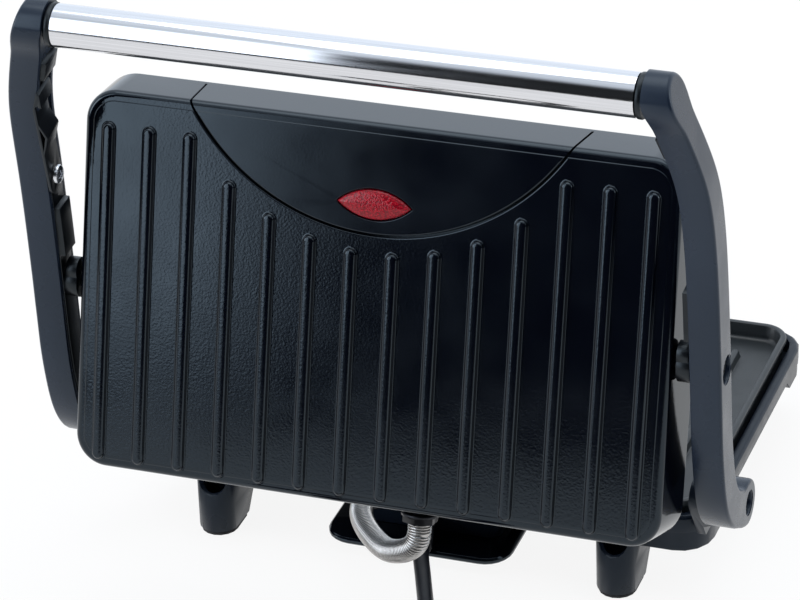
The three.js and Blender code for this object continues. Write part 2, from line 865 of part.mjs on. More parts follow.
function cookingPlate() {
  const outline = {
    x0: -plateHalfWidth, x1: plateHalfWidth, y0: -plateDepth / 2, y1: plateDepth / 2, corner: plateCorner,
  };
  const outer = tray(outline, [
    [-plateRimHeight, -plateLipOut * 2],
    [-plateLip - plateLipOut / 2, -plateLipOut],
    [-plateLip, 0],
    [-plateLipOut, 0],
    [0, -plateLipOut],
  ]);
  const dish = tray(outline, [
    [-plateSink, -plateWall - plateLipOut * 2],
    [-plateSink + plateLipOut, -plateWall - plateLipOut],
    [overrun, -plateWall],
  ]);
  const under = tray(outline, [
    [-plateRimHeight - overrun, -plateWall - plateLipOut * 2],
    [-plateSink - plateFloor, -plateWall - plateLipOut * 2],
  ]);
  const ribs = [];
  for (let i = 0; i < plateRibs; i += 1) {
    const x = (i / (plateRibs - 1) - 0.5) * 2 * (plateHalfWidth - plateRibMargin);
    const bar = slab(
      stadium(plateRibWidth, x, -plateRibLength / 2, plateRibLength / 2),
      plateRibHeight + plateFloor / 2, plateRibHeight * 0.3, 1, 2);
    ribs.push(solid(moved(bar, 0, 0, -plateSink - plateFloor / 2)));
  }
  const posts = [];
  for (const x of [-platePostX, platePostX]) {
    for (const y of [-platePostY, platePostY]) {
      posts.push(rodAlongZ(platePostRadius, -plateBackDepth - shieldDrop + gap, -plateSink - weldDepth,
        x, y, 10));
    }
  }
  return join(cut(outer, dish, under), ...ribs, ...posts);
}

// Heating element: a sheathed loop whose two tails turn in to the middle.
function heatingElement() {
  const x = plateHalfWidth - elementSideInset;
  const y = plateDepth / 2 - elementEndInset;
  const r = elementCorner;
  const route = new THREE.CurvePath();
  const stops = [
    [-elementTail, elementRadius * 3 - y], [-elementTail, -y], [-x, -y], [-x, y], [x, y], [x, -y],
    [elementTail, -y], [elementTail, elementRadius * 3 - y],
  ].map(([px, py]) => new THREE.Vector3(px, py, -plateBackDepth - gap - elementRadius));
  let from = stops[0];
  for (let i = 1; i < stops.length - 1; i += 1) {
    const before = stops[i].distanceTo(stops[i - 1]);
    const after = stops[i].distanceTo(stops[i + 1]);
    const bend = Math.min(r, before * 0.7, after * 0.7);
    const enter = stops[i].clone().lerp(stops[i - 1], bend / before);
    const leave = stops[i].clone().lerp(stops[i + 1], bend / after);
    route.add(new THREE.LineCurve3(from, enter));
    route.add(new THREE.QuadraticBezierCurve3(enter, stops[i], leave));
    from = leave;
  }
  route.add(new THREE.LineCurve3(from, stops[stops.length - 1]));
  return solid(tube(route, elementRadius, 26, 6));
}

function heatShield() {
  const outline = {
    x0: -plateHalfWidth, x1: plateHalfWidth, y0: -plateDepth / 2, y1: plateDepth / 2, corner: plateCorner * 2,
  };
  const base = -plateBackDepth - shieldDrop;
  const pan = tray(outline, [
    [base - shieldThickness, -shieldInset - shieldThickness],
    [base + shieldRim, -shieldInset],
  ]);
  const room = tray(outline, [
    [base, -shieldInset - shieldThickness * 2],
    [base + shieldRim + overrun, -shieldInset - shieldThickness],
  ]);
  const opening = rodAlongZ(thermostatRadius + gap * 2, base - overrun, base + overrun, thermostatX, 0, 14);
  return cut(pan, room, opening);
}

function thermostat() {
  const top = -plateBackDepth - gap;
  return join(
    rodAlongZ(thermostatRadius, top - thermostatHeight * 0.6, top, thermostatX, 0, 16),
    rodAlongZ(thermostatRadius * 0.75, top - thermostatHeight, top - thermostatHeight * 0.5,
      thermostatX, 0, 12),
  );
}

function shieldDepth(which) {
  const back = plateBackDepth + shieldDrop + shieldThickness;
  return which === 'upper' ? upperPlateRim - back : lowerPlateTop - back;
}

// Base housing.

const baseOutline = {
  x0: -baseHalfWidth, x1: baseHalfWidth, y0: -baseFront, y1: baseBack, corner: baseCorner,
};

function baseSkirt() {
  const outer = tray(baseOutline, [
    [skirtBottom, -skirtSetIn - weldDepth],
    [skirtBottom + weldDepth, -skirtSetIn],
    [bandBottom + weldDepth, -skirtSetIn],
  ]);
  const inner = tray(baseOutline, [
    [skirtBottom - overrun, -skirtSetIn - skirtWall],
    [bandBottom + overrun, -skirtSetIn - skirtWall],
  ]);
  const low = skirtBottom - overrun;
  const sideArchFront = baseFront - sideArchFrontInset;
  const sideArchBack = baseBack - sideArchBackInset;
  const frontArchHalf = baseHalfWidth - frontArchInset;
  const sideArch = slab(polygon([
    [-sideArchFront - archSlope, low], [-sideArchFront, bandBottom],
    [sideArchBack, bandBottom], [sideArchBack + archSlope, low],
  ]), baseHalfWidth * 2 + overrun * 2);
  sideArch.applyMatrix4(sideView);
  const frontArch = slab(polygon([
    [-frontArchHalf - archSlope, low], [-frontArchHalf, bandBottom],
    [frontArchHalf, bandBottom], [frontArchHalf + archSlope, low],
  ]), baseFront);
  frontArch.applyMatrix4(rearView);
  const side = baseHalfWidth + overrun;
  const frontRise = block(-side, side, -baseFront - overrun, -sideArchFront, low, frontSkirtBottom);
  return cut(outer, inner, frontRise,
    solid(moved(sideArch, -side, 0, 0)),
    solid(moved(frontArch, 0, -overrun, 0)));
}

const rearFootBack = baseBack + rearFootBehind;

// Outline of the rear foot seen from above, with a round rear end.
function rearFootOutline(x, front, back, half) {
  const shape = new THREE.Shape();
  shape.moveTo(x - half, front);
  shape.lineTo(x + half, front);
  shape.absarc(x, back - half, half, 0, Math.PI, false);
  return shape;
}

// Hollow rear foot whose rear wall has a half-round notch at the top.
function rearFoot(side) {
  const x = side * rearFootX;
  const low = rearFootBack - rearFootLength;
  const ring = (front, back, z) => rearFootOutline(x, front, back, rearFootHalf)
    .getPoints(5).slice(0, -1).map((p) => [p.x, p.y, z]);
  const column = solid(skin([
    ring(low, rearFootBack, padHeight + gap),
    ring(low - rearFootRake, rearFootBack, bellyBottom),
    ring(low - rearFootRake, rearFootBack, rearFootHeight),
  ]));
  const inside = rearFootHalf - rearFootWall;
  const pocket = slab(rearFootOutline(x, baseBack + weldDepth, rearFootBack - rearFootWall, inside),
    rearFootHeight, 0, 1, 5);
  const notch = rodAlongY(inside, rearFootBack - rearFootHalf, rearFootBack + overrun, x, scoopZ, 14);
  return cut(column, solid(moved(pocket, 0, 0, rearFootFloor)), notch);
}

function frontFoot(side) {
  const ring = (half, z) => {
    const x = side * frontFootX;
    const shape = cornered(x - half, x + half, -frontFootY - half, half - frontFootY, footCorner);
    return shape.curves.filter((curve) => curve.isEllipseCurve)
      .flatMap((curve) => curve.getPoints(3)).map((p) => [p.x, p.y, z]);
  };
  return solid(skin([
    ring(frontFootFoot, padHeight + gap),
    ring(frontFootTop, frontSkirtBottom),
    ring(frontFootTop, bandBottom - weldDepth),
  ]));
}

function hingeLug(side) {
  const shape = new THREE.Shape();
  shape.moveTo(lugFront, lugBottom);
  shape.lineTo(baseBack, lugBottom);
  shape.absarc(pivotY, pivotZ, lugRadius, lugArcStart, lugArcEnd, false);
  shape.lineTo(baseBack - lugRadius, lugTop);
  shape.lineTo(lugFront, lugTop);
  const outer = armInnerX - gap;
  const lug = slab(shape, outer - lugInnerX, 0, 1, 6);
  lug.applyMatrix4(sideView);
  moved(lug, lugInnerX, 0, 0);
  const top = pivotZ + lugRadius + overrun;
  const flare = slab(polygon([
    [lugInnerX - overrun, lugBottom - overrun], [baseHalfWidth, lugBottom - overrun],
    [baseHalfWidth, baseRimTop], [outer + overrun, baseRimTop + lugFlare], [outer + overrun, top],
    [lugInnerX - overrun, top],
  ]), pivotY + lugRadius);
  flare.applyMatrix4(rearView);
  const cheek = solid(lug).intersect(solid(moved(flare, 0, pivotY + lugRadius + overrun, 0)));
  const drilled = cut(cheek, rodAlongX(hingeShankRadius + gap, 0, armOuterX, pivotY, pivotZ, 16));
  const geometry = surface(drilled);
  return solid(side > 0 ? geometry : mirrored(geometry));
}

// Ledge on the left side of the band, where the hanging latch hooks in.
function latchCatch() {
  const along = latchClosedY();
  const reach = baseHalfWidth + catchReach;
  const root = baseHalfWidth - weldDepth;
  const top = bandBottom + catchHeight;
  const shape = polygon([
    [root, bandBottom], [reach, bandBottom + weldDepth], [reach, top - weldDepth], [root, top + weldDepth],
  ]);
  const ledge = slab(shape, 2 * catchHalf);
  ledge.applyMatrix4(rearView);
  return solid(moved(ledge, 0, along + catchHalf, 0));
}

function latchClosedY() {
  const reach = Math.hypot(latchBack, latchRise);
  return pivotY + reach * Math.cos(Math.atan2(latchRise, latchBack) + closingTurn);
}

const blockOutline = {
  x0: -blockHalfWidth, x1: blockHalfWidth, y0: blockFront, y1: blockBack, corner: blockWall * 2,
};

function baseHousing() {
  const bowl = tray(baseOutline, [
    [bellyBottom, -bellyInset],
    [bandBottom - weldDepth, -skirtWall],
    [bandBottom, 0],
    [baseRimTop - baseEdge, 0],
    [baseRimTop, -baseEdge],
  ]);
  const ledgeTop = lowerPlateTop - plateRimHeight - gap;
  const room = tray(baseOutline, [
    [bellyBottom + bellyFloor, -bellyInset - bellyFloor],
    [ledgeTop - bellyFloor, -baseLedgeInset],
    [ledgeTop, -baseLedgeInset],
  ]);
  const well = tray(baseOutline, [
    [ledgeTop, -baseRimWidth],
    [baseRimTop + overrun, -baseRimWidth],
  ]);
  const blockBody = tray(blockOutline, [
    [blockBottom, 0],
    [bandBottom - weldDepth, blockDraft],
  ]);
  const blockRoom = tray(blockOutline, [
    [blockBottom - overrun, -blockWall],
    [blockBottom + weldDepth, -blockWall],
    [bandBottom - blockWall * 2, blockDraft - blockWall],
  ]);
  const vents = [];
  for (let i = 0; i < ventCount; i += 1) {
    const x = (i - (ventCount - 1) / 2) * ventPitch;
    const slot = slab(stadium(ventWidth, x, -ventLength, 0), bellyBottom, 0, 1, 2);
    vents.push(solid(moved(slot, 0, -ventLength / 4, bellyBottom - overrun)));
  }
  const posts = [];
  for (const x of [-platePostX, platePostX]) {
    for (const y of [-platePostY, platePostY]) {
      posts.push(rodAlongZ(shieldPostRadius, bellyBottom + weldDepth, shieldDepth('lower') - gap,
        x, plateMidY + y, 10));
    }
  }
  const pairs = [rearFoot, frontFoot, hingeLug].flatMap((make) => sides.map(([, side]) => make(side)));
  const outside = join(bowl, baseSkirt(), blockBody, ...pairs, latchCatch());
  const wires = rodAlongY(wireHole, baseBack - bellyInset, baseBack + overrun, conduitX, conduitZ, 16);
  return join(cut(outside, room, well, blockRoom, wires, ...vents), ...posts);
}

// Cover under the wiring block, whose rear edge stands out as a flange.
function blockCover() {
  const shape = cornered(-coverHalfWidth, coverHalfWidth, -coverFront, coverBack, coverCorner);
  const plate = slab(shape, coverThickness, coverEdge, 1, 3);
  const spigot = tray(blockOutline, [
    [blockBottom - gap - weldDepth, -blockWall - gap],
    [blockBottom + blockWall, -blockWall - gap],
  ]);
  const hollow = tray(blockOutline, [
    [blockBottom - gap, -blockWall * 2],
    [blockBottom + blockWall + overrun, -blockWall * 2],
  ]);
  return join(
    solid(moved(plate, 0, 0, blockBottom - gap - coverThickness)),
    cut(spigot, hollow),
  );
}

function terminalBlock() {
  const top = blockBottom + terminalHeight;
  const y0 = (blockFront + blockBack - terminalWidth) / 2;
  const body = block(
    -terminalLength / 2, terminalLength / 2, y0, y0 + terminalWidth, blockBottom, top);
  const wells = [];
  for (let i = 0; i < terminalWays; i += 1) {
    const x = ((i + 0.5) / terminalWays - 0.5) * terminalLength;
    wells.push(rodAlongZ(
      terminalWidth / 5, top - terminalHeight / 2, top + overrun, x, y0 + terminalWidth / 2, 12));
  }
  return cut(body, ...wells);
}

function rearFootPad() {
  const front = rearFootBack - rearFootLength + weldDepth;
  const outline = rearFootOutline(rearFootX, front, rearFootBack - weldDepth, rearFootHalf - weldDepth);
  return solid(slab(outline, padHeight, 0, 1, 4));
}

function frontFootPad() {
  const half = frontFootFoot - weldDepth;
  const outline = cornered(frontFootX - half, frontFootX + half, -frontFootY - half, half - frontFootY,
    footCorner - weldDepth);
  return solid(slab(outline, padHeight, 0, 1, 2));
}

// Conduit: a ribbed hose with a bore, straight for one diameter at both ends.

function layConduit() {
  const wall = new THREE.Vector3(conduitX, baseBack + gap, conduitZ);
  const wallEnd = new THREE.Vector3(conduitX, baseBack + 2 * conduitRadius, conduitZ);
  const lid = lidPoint(-conduitLidX, conduitSeat() - gap, conduitLidDepth);
  const lidEnd = lidPoint(-conduitLidX, conduitSeat() - 2 * conduitRadius, conduitLidDepth);
  const down = lidEnd.clone().sub(lid).normalize();
  const slope = new THREE.Vector3(...conduitSlope);
  const middle = wallEnd.clone().lerp(lidEnd, 0.5).add(new THREE.Vector3(...conduitSlack));
  const pastWall = wallEnd.clone().add(new THREE.Vector3(0, conduitBasePull, 0));
  const pastLid = lidEnd.clone().addScaledVector(down, conduitLidPull);
  const path = new THREE.CurvePath();
  path.add(new THREE.LineCurve3(wall, wallEnd));
  path.add(new THREE.CubicBezierCurve3(wallEnd, pastWall, middle.clone().sub(slope), middle));
  path.add(new THREE.CubicBezierCurve3(middle, middle.clone().add(slope), pastLid, lidEnd));
  path.add(new THREE.LineCurve3(lidEnd, lid));
  return path;
}

// Rings along a route, carried without twist from one to the next.
function ringsAlong(path, shares, radiusAt, around) {
  let side = new THREE.Vector3(0, 0, 1);
  return shares.map((share, k) => {
    const centre = path.getPointAt(share);
    const along = path.getTangentAt(share);
    side = side.clone().addScaledVector(along, -side.dot(along)).normalize();
    const other = new THREE.Vector3().crossVectors(along, side);
    const ring = [];
    for (let i = 0; i < around; i += 1) {
      const turn = (2 * Math.PI * i) / around;
      const p = centre.clone()
        .addScaledVector(side, radiusAt(k) * Math.cos(turn))
        .addScaledVector(other, radiusAt(k) * Math.sin(turn));
      ring.push([p.x, p.y, p.z]);
    }
    return ring;
  });
}

function wireConduit() {
  const conduitRoute = layConduit();
  const ribs = Math.min(Math.round(conduitRoute.getLength() / conduitRibPitch), 200);
  const shares = Array.from({ length: 2 * ribs + 1 }, (_, k) => k / (2 * ribs));
  const outer = ringsAlong(conduitRoute, shares,
    (k) => conduitRadius - (k % 2 === 0 ? conduitRibHeight : 0), conduitSides);
  const boreShares = shares.filter((_, k) => k % 10 === 0 || k === 2 * ribs);
  const inner = ringsAlong(conduitRoute, boreShares, () => conduitBore, conduitSides);
  const places = [];
  const face = (a, b, c) => places.push(...a, ...b, ...c);
  const wall = (rings, flip) => {
    for (let k = 1; k < rings.length; k += 1) {
      for (let i = 0; i < conduitSides; i += 1) {
        const j = (i + 1) % conduitSides;
        const [a, b, c, d] = [rings[k - 1][i], rings[k - 1][j], rings[k][j], rings[k][i]];
        if (flip) {
          face(a, c, b);
          face(a, d, c);
        } else {
          face(a, b, c);
          face(a, c, d);
        }
      }
    }
  };
  const end = (outside, inside, flip) => {
    for (let i = 0; i < conduitSides; i += 1) {
      const j = (i + 1) % conduitSides;
      const [a, b, c, d] = [outside[i], outside[j], inside[j], inside[i]];
      if (flip) {
        face(a, c, b);
        face(a, d, c);
      } else {
        face(a, b, c);
        face(a, c, d);
      }
    }
  };
  wall(outer, false);
  wall(inner, true);
  end(outer[0], inner[0], true);
  end(outer[outer.length - 1], inner[inner.length - 1], false);
  const geometry = new THREE.BufferGeometry();
  geometry.setAttribute('position', new THREE.Float32BufferAttribute(places, 3));
  geometry.computeVertexNormals();
  return solid(geometry);
}

// End fitting of the conduit, along +Y from a wall at zero: a flange and a six-sided nut.
function ferrule() {
  return cut(
    join(
      rodAlongY(ferruleRadius, gap, gap + ferruleFlange, 0, 0, 18),
      rodAlongY(ferruleNut, ferruleFlange, gap + ferruleLength, 0, 0, 6),
    ),
    rodAlongY(conduitRadius + gap, -overrun, ferruleLength + overrun, 0, 0, 18),
  );
}

// Power cord. Its points are places on its centre line.

const cordStart = new THREE.Vector3(0, blockBack + blockDraft * 0.35, cordExitZ);
const cordHeading = new THREE.Vector3(
  -Math.sin(cordExitTurn), Math.cos(cordExitTurn), -Math.tan(cordExitDip)).normalize();
const reliefTip = cordStart.clone().addScaledVector(cordHeading, reliefLength);

// A sleeve that tapers to the cord, with ring grooves.
function strainRelief() {
  const flangeEnd = reliefLength * 0.12;
  const profile = [
    new THREE.Vector2(0, -reliefStart / 2),
    new THREE.Vector2(reliefStart, -reliefStart / 2),
    new THREE.Vector2(reliefStart, flangeEnd),
  ];
  const pitch = (reliefLength - flangeEnd) / reliefRings;
  for (let i = 0; i < reliefRings; i += 1) {
    const share = i / reliefRings;
    const radius = reliefStart * 0.88 * (1 - share) + reliefEnd * share;
    const from = flangeEnd + i * pitch;
    profile.push(
      new THREE.Vector2(radius - weldDepth / 2, from),
      new THREE.Vector2(radius - weldDepth / 2, from + pitch * 0.25),
      new THREE.Vector2(radius, from + pitch * 0.35),
      new THREE.Vector2(radius - weldDepth / 4, from + pitch * 0.95),
    );
  }
  profile.push(new THREE.Vector2(reliefEnd - weldDepth / 2, reliefLength));
  profile.push(new THREE.Vector2(0, reliefLength));
  const sleeve = new THREE.LatheGeometry(profile, 10);
  const turn = new THREE.Quaternion().setFromUnitVectors(new THREE.Vector3(0, 1, 0), cordHeading);
  sleeve.applyQuaternion(turn);
  const wall = tray(blockOutline, [
    [blockBottom, gap],
    [bandBottom - weldDepth, blockDraft + gap],
  ]);
  return cut(solid(moved(sleeve, cordStart.x, cordStart.y, cordStart.z)), wall);
}

// Piled coil: it spirals in, climbs a layer while it reverses, and spirals out.
function coilPoint(turn) {
  const radius = coilOuter - coilPitch * Math.min(turn, 2 * coilReverse - turn);
  const climbStart = coilReverse - coilClimbTurns / 2;
  const climb = THREE.MathUtils.smoothstep(turn, climbStart, climbStart + coilClimbTurns);
  const angle = coilStartAngle - 2 * Math.PI * turn;
  return new THREE.Vector3(
    coilX + radius * Math.cos(angle), coilY + radius * Math.sin(angle), cordFloorZ + coilLayer * climb);
}

const coilStart = coilPoint(0);
const coilEnd = coilPoint(coilTurns);
const smallTurn = 0.01;
const coilStartHeading = coilPoint(smallTurn).sub(coilStart).normalize();
const coilEndHeading = coilEnd.clone().sub(coilPoint(coilTurns - smallTurn)).normalize();

const plugRear = new THREE.Vector3(coilX + plugAside, coilY + coilOuter + plugBehind, plugRadius + gap);
const plugHeading = new THREE.Vector3(Math.cos(plugTurn), Math.sin(plugTurn), 0);

function cordRoute(points) {
  return new THREE.CatmullRomCurve3(points, false, 'centripetal');
}

// Points between two ends, each given by its share of the way in X, Y and Z.
function between(from, to, shares) {
  return shares.map(([x, y, z]) => new THREE.Vector3(
    THREE.MathUtils.lerp(from.x, to.x, x),
    THREE.MathUtils.lerp(from.y, to.y, y),
    THREE.MathUtils.lerp(from.z, to.z, z),
  ));
}

const leadRoute = cordRoute([
  reliefTip.clone().addScaledVector(cordHeading, gap),
  reliefTip.clone().addScaledVector(cordHeading, 2 * cordRadius),
  ...between(reliefTip, coilStart, leadShares),
  coilStart.clone().addScaledVector(coilStartHeading, -2 * cordRadius),
  coilStart.clone().addScaledVector(coilStartHeading, -gap),
]);

const tailRoute = cordRoute([
  coilEnd.clone().addScaledVector(coilEndHeading, gap),
  coilEnd.clone().addScaledVector(coilEndHeading, 2 * cordRadius),
  ...between(coilEnd, plugRear, tailShares),
  plugRear.clone().addScaledVector(plugHeading, -2 * cordRadius),
  plugRear.clone().addScaledVector(plugHeading, -gap),
]);

function cordCoil() {
  const stepsPerTurn = 24;
  const steps = Math.round(coilTurns * stepsPerTurn);
  const path = new THREE.CatmullRomCurve3(
    Array.from({ length: steps + 1 }, (_, k) => coilPoint((coilTurns * k) / steps)));
  const shares = Array.from({ length: steps + 1 }, (_, k) => k / steps);
  const points = shares.map((share) => path.getPointAt(share));
  let least = Infinity;
  for (let i = 0; i < points.length; i += 1) {
    for (let k = i + stepsPerTurn / 2; k < points.length; k += 1) {
      least = Math.min(least, points[i].distanceTo(points[k]) - 2 * cordRadius);
    }
  }
  console.log(`cord coil: least gap to itself ${least.toFixed(2)} mm`);
  return solid(skin(ringsAlong(path, shares, () => cordRadius, 6)));
}

function cordTie() {
  const angle = coilStartAngle - 2 * Math.PI * tieTurn;
  const inner = coilOuter - coilPitch * (1 + tieTurn) - cordRadius - gap;
  const outer = coilOuter - coilPitch * tieTurn + cordRadius + gap;
  const high = cordFloorZ + coilLayer + cordRadius + gap;
  const band = cornered(inner - tieWall, outer + tieWall, 0, high + tieWall, cordRadius);
  const hole = cornered(inner, outer, tieWall, high, cordRadius - tieWall);
  band.holes.push(hole);
  const strap = slab(band, tieWidth, 0, 1, 4);
  strap.applyMatrix4(rearView);
  moved(strap, 0, tieWidth / 2, 0);
  strap.rotateZ(angle);
  return solid(moved(strap, coilX, coilY, 0));
}

// Earthed two-pin plug, lying on its side behind the coil.
function powerPlug() {
  const bevel = plugRadius * 0.12;
  const profile = [
    [0, 0], [plugNeckRadius * 0.8, 0], [plugNeckRadius, plugNeck], [plugRadius * 0.75, plugNeck + bevel],
    [plugRadius, plugNeck + bevel * 4], [plugRadius, plugNeck + plugLength - bevel],
    [plugRadius - bevel, plugNeck + plugLength], [0, plugNeck + plugLength],
  ].map(([r, y]) => new THREE.Vector2(r, y));
  const body = solid(new THREE.LatheGeometry(profile, 18));
  const end = plugNeck + plugLength;
  const pins = [-pinSpread / 2, pinSpread / 2].map(
    (x) => rodAlongY(pinRadius, end - weldDepth, end + pinLength, x, 0, 12));
  const slotHalf = pinRadius * 1.4;
  const slots = [-1, 1].map((way) => {
    const deep = way * (plugRadius - pinRadius);
    const clear = way * (plugRadius + overrun);
    return block(-slotHalf, slotHalf, end - plugLength * 0.5, end + overrun,
      Math.min(deep, clear), Math.max(deep, clear));
  });
  return join(cut(body, ...slots), ...pins);
}

// The assembly.

const finishes = {
  casing: { color: 0x3a424b, roughness: 0.5, metalness: 0 },
  gloss: { color: 0x0c0e14, roughness: 0.16, metalness: 0 },
  plate: { color: 0x2b3135, roughness: 0.55, metalness: 0.1 },
  black: { color: 0x0b0c0f, roughness: 0.55, metalness: 0 },
  bar: { color: 0xc9ccd2, roughness: 0.22, metalness: 1 },
  steel: { color: 0xb4b7bb, roughness: 0.35, metalness: 1 },
  hose: { color: 0x8e9299, roughness: 0.35, metalness: 1 },
  lens: { color: 0xb01018, roughness: 0.15, metalness: 0 },
  glass: { color: 0xe8b060, roughness: 0.1, metalness: 0 },
  cord: { color: 0x101114, roughness: 0.6, metalness: 0 },
  rubber: { color: 0x18191b, roughness: 0.85, metalness: 0 },
};

const grill = new THREE.Group();

function add(name, finish, body, group = grill) {
  const geometry = body.isBufferGeometry ? body : surface(body);
  const mesh = new THREE.Mesh(geometry, new THREE.MeshStandardMaterial(finishes[finish]));
  mesh.name = name;
  group.add(mesh);
  return mesh;
}

// The same piece on both sides of the grill, mirrored on the right.
function addPair(name, finish, body, group = grill) {
  const geometry = surface(body);
  add(`${name}_left`, finish, geometry, group);
  add(`${name}_right`, finish, mirrored(geometry), group);
}

function addBase() {
  add('base_housing', 'casing', baseHousing());
  add('wiring_block_cover', 'gloss', blockCover());
  add('terminal_block', 'black', terminalBlock());
  addPair('rear_foot_pad', 'rubber', rearFootPad());
  addPair('front_foot_pad', 'rubber', frontFootPad());
  const lower = new THREE.Group();
  lower.position.set(0, plateMidY, lowerPlateTop);
  grill.add(lower);
  add('lower_cooking_plate', 'plate', cookingPlate(), lower);
  add('lower_heating_element', 'steel', heatingElement(), lower);
  add('lower_heat_shield', 'steel', heatShield(), lower);
  add('lower_thermostat', 'black', thermostat(), lower);
  addPair('hinge_screw', 'steel', hingeScrew());
}

function addArms() {
  addPair('arm', 'casing', armShell());
  addPair('arm_liner', 'black', armLiner());
  addPair('lid_pivot_screw', 'black', lidPivotScrew());
  add('handle_bar', 'bar', handleBar());
  addPair('bar_collar', 'black', barCollar());
  add('handle_rod', 'steel', handleRod());
}

function addLatch() {
  const stand = armInnerX - gap;
  const latch = new THREE.Group();
  latch.position.set(stand, pivotY + latchBack, pivotZ + latchRise);
  latch.rotation.x = -latchLean;
  grill.add(latch);
  add('latch_lever', 'black', latchLever(), latch);
  const screw = surface(latchScrew());
  add('latch_screw', 'steel', mirrored(screw), latch);
}

function addLid() {
  const lid = new THREE.Group();
  lid.applyMatrix4(lidFrame);
  grill.add(lid);
  add('lid_housing', 'gloss', lidHousing(), lid);
  add('lid_front_panel', 'gloss', lidPanel(), lid);
  add('indicator_lens', 'lens', indicatorLens(), lid);
  add('lamp_holder', 'black', lampHolder(), lid);
  add('indicator_lamp', 'glass', indicatorLamp(), lid);
  addPair('pivot_bush', 'black', pivotBush(), lid);
  const { y0, y1 } = plateOutline(-1);
  const upper = new THREE.Group();
  upper.position.set(0, (y0 + y1) / 2, upperPlateRim);
  lid.add(upper);
  add('upper_cooking_plate', 'plate', cookingPlate(), upper);
  add('upper_heating_element', 'steel', heatingElement(), upper);
  add('upper_heat_shield', 'steel', heatShield(), upper);
  add('upper_thermostat', 'black', thermostat(), upper);
  const fitting = add('conduit_fitting_lid', 'steel', ferrule(), lid);
  fitting.position.set(-conduitLidX, conduitSeat(), conduitLidDepth);
  fitting.rotation.z = Math.PI;
}

function addWiring() {
  add('wire_conduit', 'hose', wireConduit());
  const fitting = add('conduit_fitting_base', 'steel', ferrule());
  fitting.position.set(conduitX, baseBack, conduitZ);
  add('cord_strain_relief', 'cord', strainRelief());
  add('power_cord', 'cord', solid(tube(leadRoute, cordRadius, 14, 8)));
  add('power_cord_coil', 'cord', cordCoil());
  add('power_cord_tail', 'cord', solid(tube(tailRoute, cordRadius, 8, 8)));
  add('cord_tie', 'black', cordTie());
  const plug = add('power_plug', 'cord', powerPlug());
  plug.position.copy(plugRear);
  plug.quaternion.setFromUnitVectors(new THREE.Vector3(0, 1, 0), plugHeading);
}

addBase();
addArms();
addLatch();
addLid();
addWiring();

export default grill;
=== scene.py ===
"""Looks of the contact grill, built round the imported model.

Lengths are millimetres where no comment says otherwise. Meshes are scaled to metres as they are made.
Materials, camera, stage and lights are in metres.
"""

import math

import bmesh
import bpy
import numpy as np
from mathutils import Matrix, Vector

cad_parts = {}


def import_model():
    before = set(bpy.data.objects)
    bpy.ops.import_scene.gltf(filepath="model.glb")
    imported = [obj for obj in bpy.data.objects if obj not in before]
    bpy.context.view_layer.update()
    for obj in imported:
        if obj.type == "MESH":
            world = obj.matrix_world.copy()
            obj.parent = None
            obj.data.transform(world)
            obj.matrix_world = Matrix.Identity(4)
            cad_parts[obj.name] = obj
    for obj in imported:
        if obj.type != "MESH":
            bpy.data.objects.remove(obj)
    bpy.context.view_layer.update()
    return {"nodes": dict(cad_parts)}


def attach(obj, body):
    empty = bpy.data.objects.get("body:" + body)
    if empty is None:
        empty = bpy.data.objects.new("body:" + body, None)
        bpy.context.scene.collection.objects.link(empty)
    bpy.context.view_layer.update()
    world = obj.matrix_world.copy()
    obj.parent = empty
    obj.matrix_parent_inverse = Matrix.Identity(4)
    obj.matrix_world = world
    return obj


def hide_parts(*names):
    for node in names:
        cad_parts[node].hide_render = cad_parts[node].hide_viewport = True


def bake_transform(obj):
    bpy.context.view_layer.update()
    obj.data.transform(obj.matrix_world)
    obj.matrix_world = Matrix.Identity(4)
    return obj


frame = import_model()
nodes = frame["nodes"]

MM = 0.001
TO_METRES = Matrix.Scale(MM, 4)
WHOLE_TURN = 2 * math.pi
X_AXIS, Y_AXIS, Z_AXIS = (1, 0, 0), (0, 1, 0), (0, 0, 1)
WHITE = (1, 1, 1, 1)


def added(name, data):
    """An object of the scene."""
    made = bpy.data.objects.new(name, data)
    bpy.context.scene.collection.objects.link(made)
    return made


# Camera, fitted to the photograph

SENSOR_WIDTH, FOCAL_LENGTH = 36.0, 190.67
CAMERA_PLACE = (-0.525121, 1.475407, 0.962025)
CAMERA_RIGHT = (-0.943716, -0.32894, -0.034633)
CAMERA_DOWN = (-0.130368, 0.466152, -0.875046)
CAMERA_AHEAD = (0.303982, -0.82128, -0.482798)
CAMERA_CLIP = (0.05, 20)


def add_camera():
    data = bpy.data.cameras.new("camera")
    data.sensor_width = SENSOR_WIDTH
    data.lens = FOCAL_LENGTH
    data.clip_start, data.clip_end = CAMERA_CLIP
    made = added("camera", data)
    axes = Matrix((Vector(CAMERA_RIGHT), -Vector(CAMERA_DOWN), -Vector(CAMERA_AHEAD)))
    made.matrix_world = Matrix.LocRotScale(Vector(CAMERA_PLACE), axes.transposed().to_quaternion(), None)
    bpy.context.scene.camera = made


add_camera()

# Nodes that materials and world share


def add_node(tree, kind, **settings):
    """A node; each setting is the value of an input or else a property of the node."""
    made = tree.nodes.new(kind)
    for key, value in settings.items():
        if key in made.inputs:
            made.inputs[key].default_value = value
        else:
            setattr(made, key, value)
    return made


def map_range(tree, source, start, end, low=0.0, high=1.0, **settings):
    made = add_node(tree, "ShaderNodeMapRange", **settings)
    for key, value in (("From Min", start), ("From Max", end), ("To Min", low), ("To Max", high)):
        made.inputs[key].default_value = value
    tree.links.new(source, made.inputs["Value"])
    return made.outputs["Result"]


def combine(tree, operation, first, *others):
    """Folds sockets and plain numbers into one value, from left to right."""
    total = first
    for other in others:
        made = add_node(tree, "ShaderNodeMath", operation=operation)
        tree.links.new(total, made.inputs[0])
        if isinstance(other, float):
            made.inputs[1].default_value = other
        else:
            tree.links.new(other, made.inputs[1])
        total = made.outputs["Value"]
    return total


# Materials

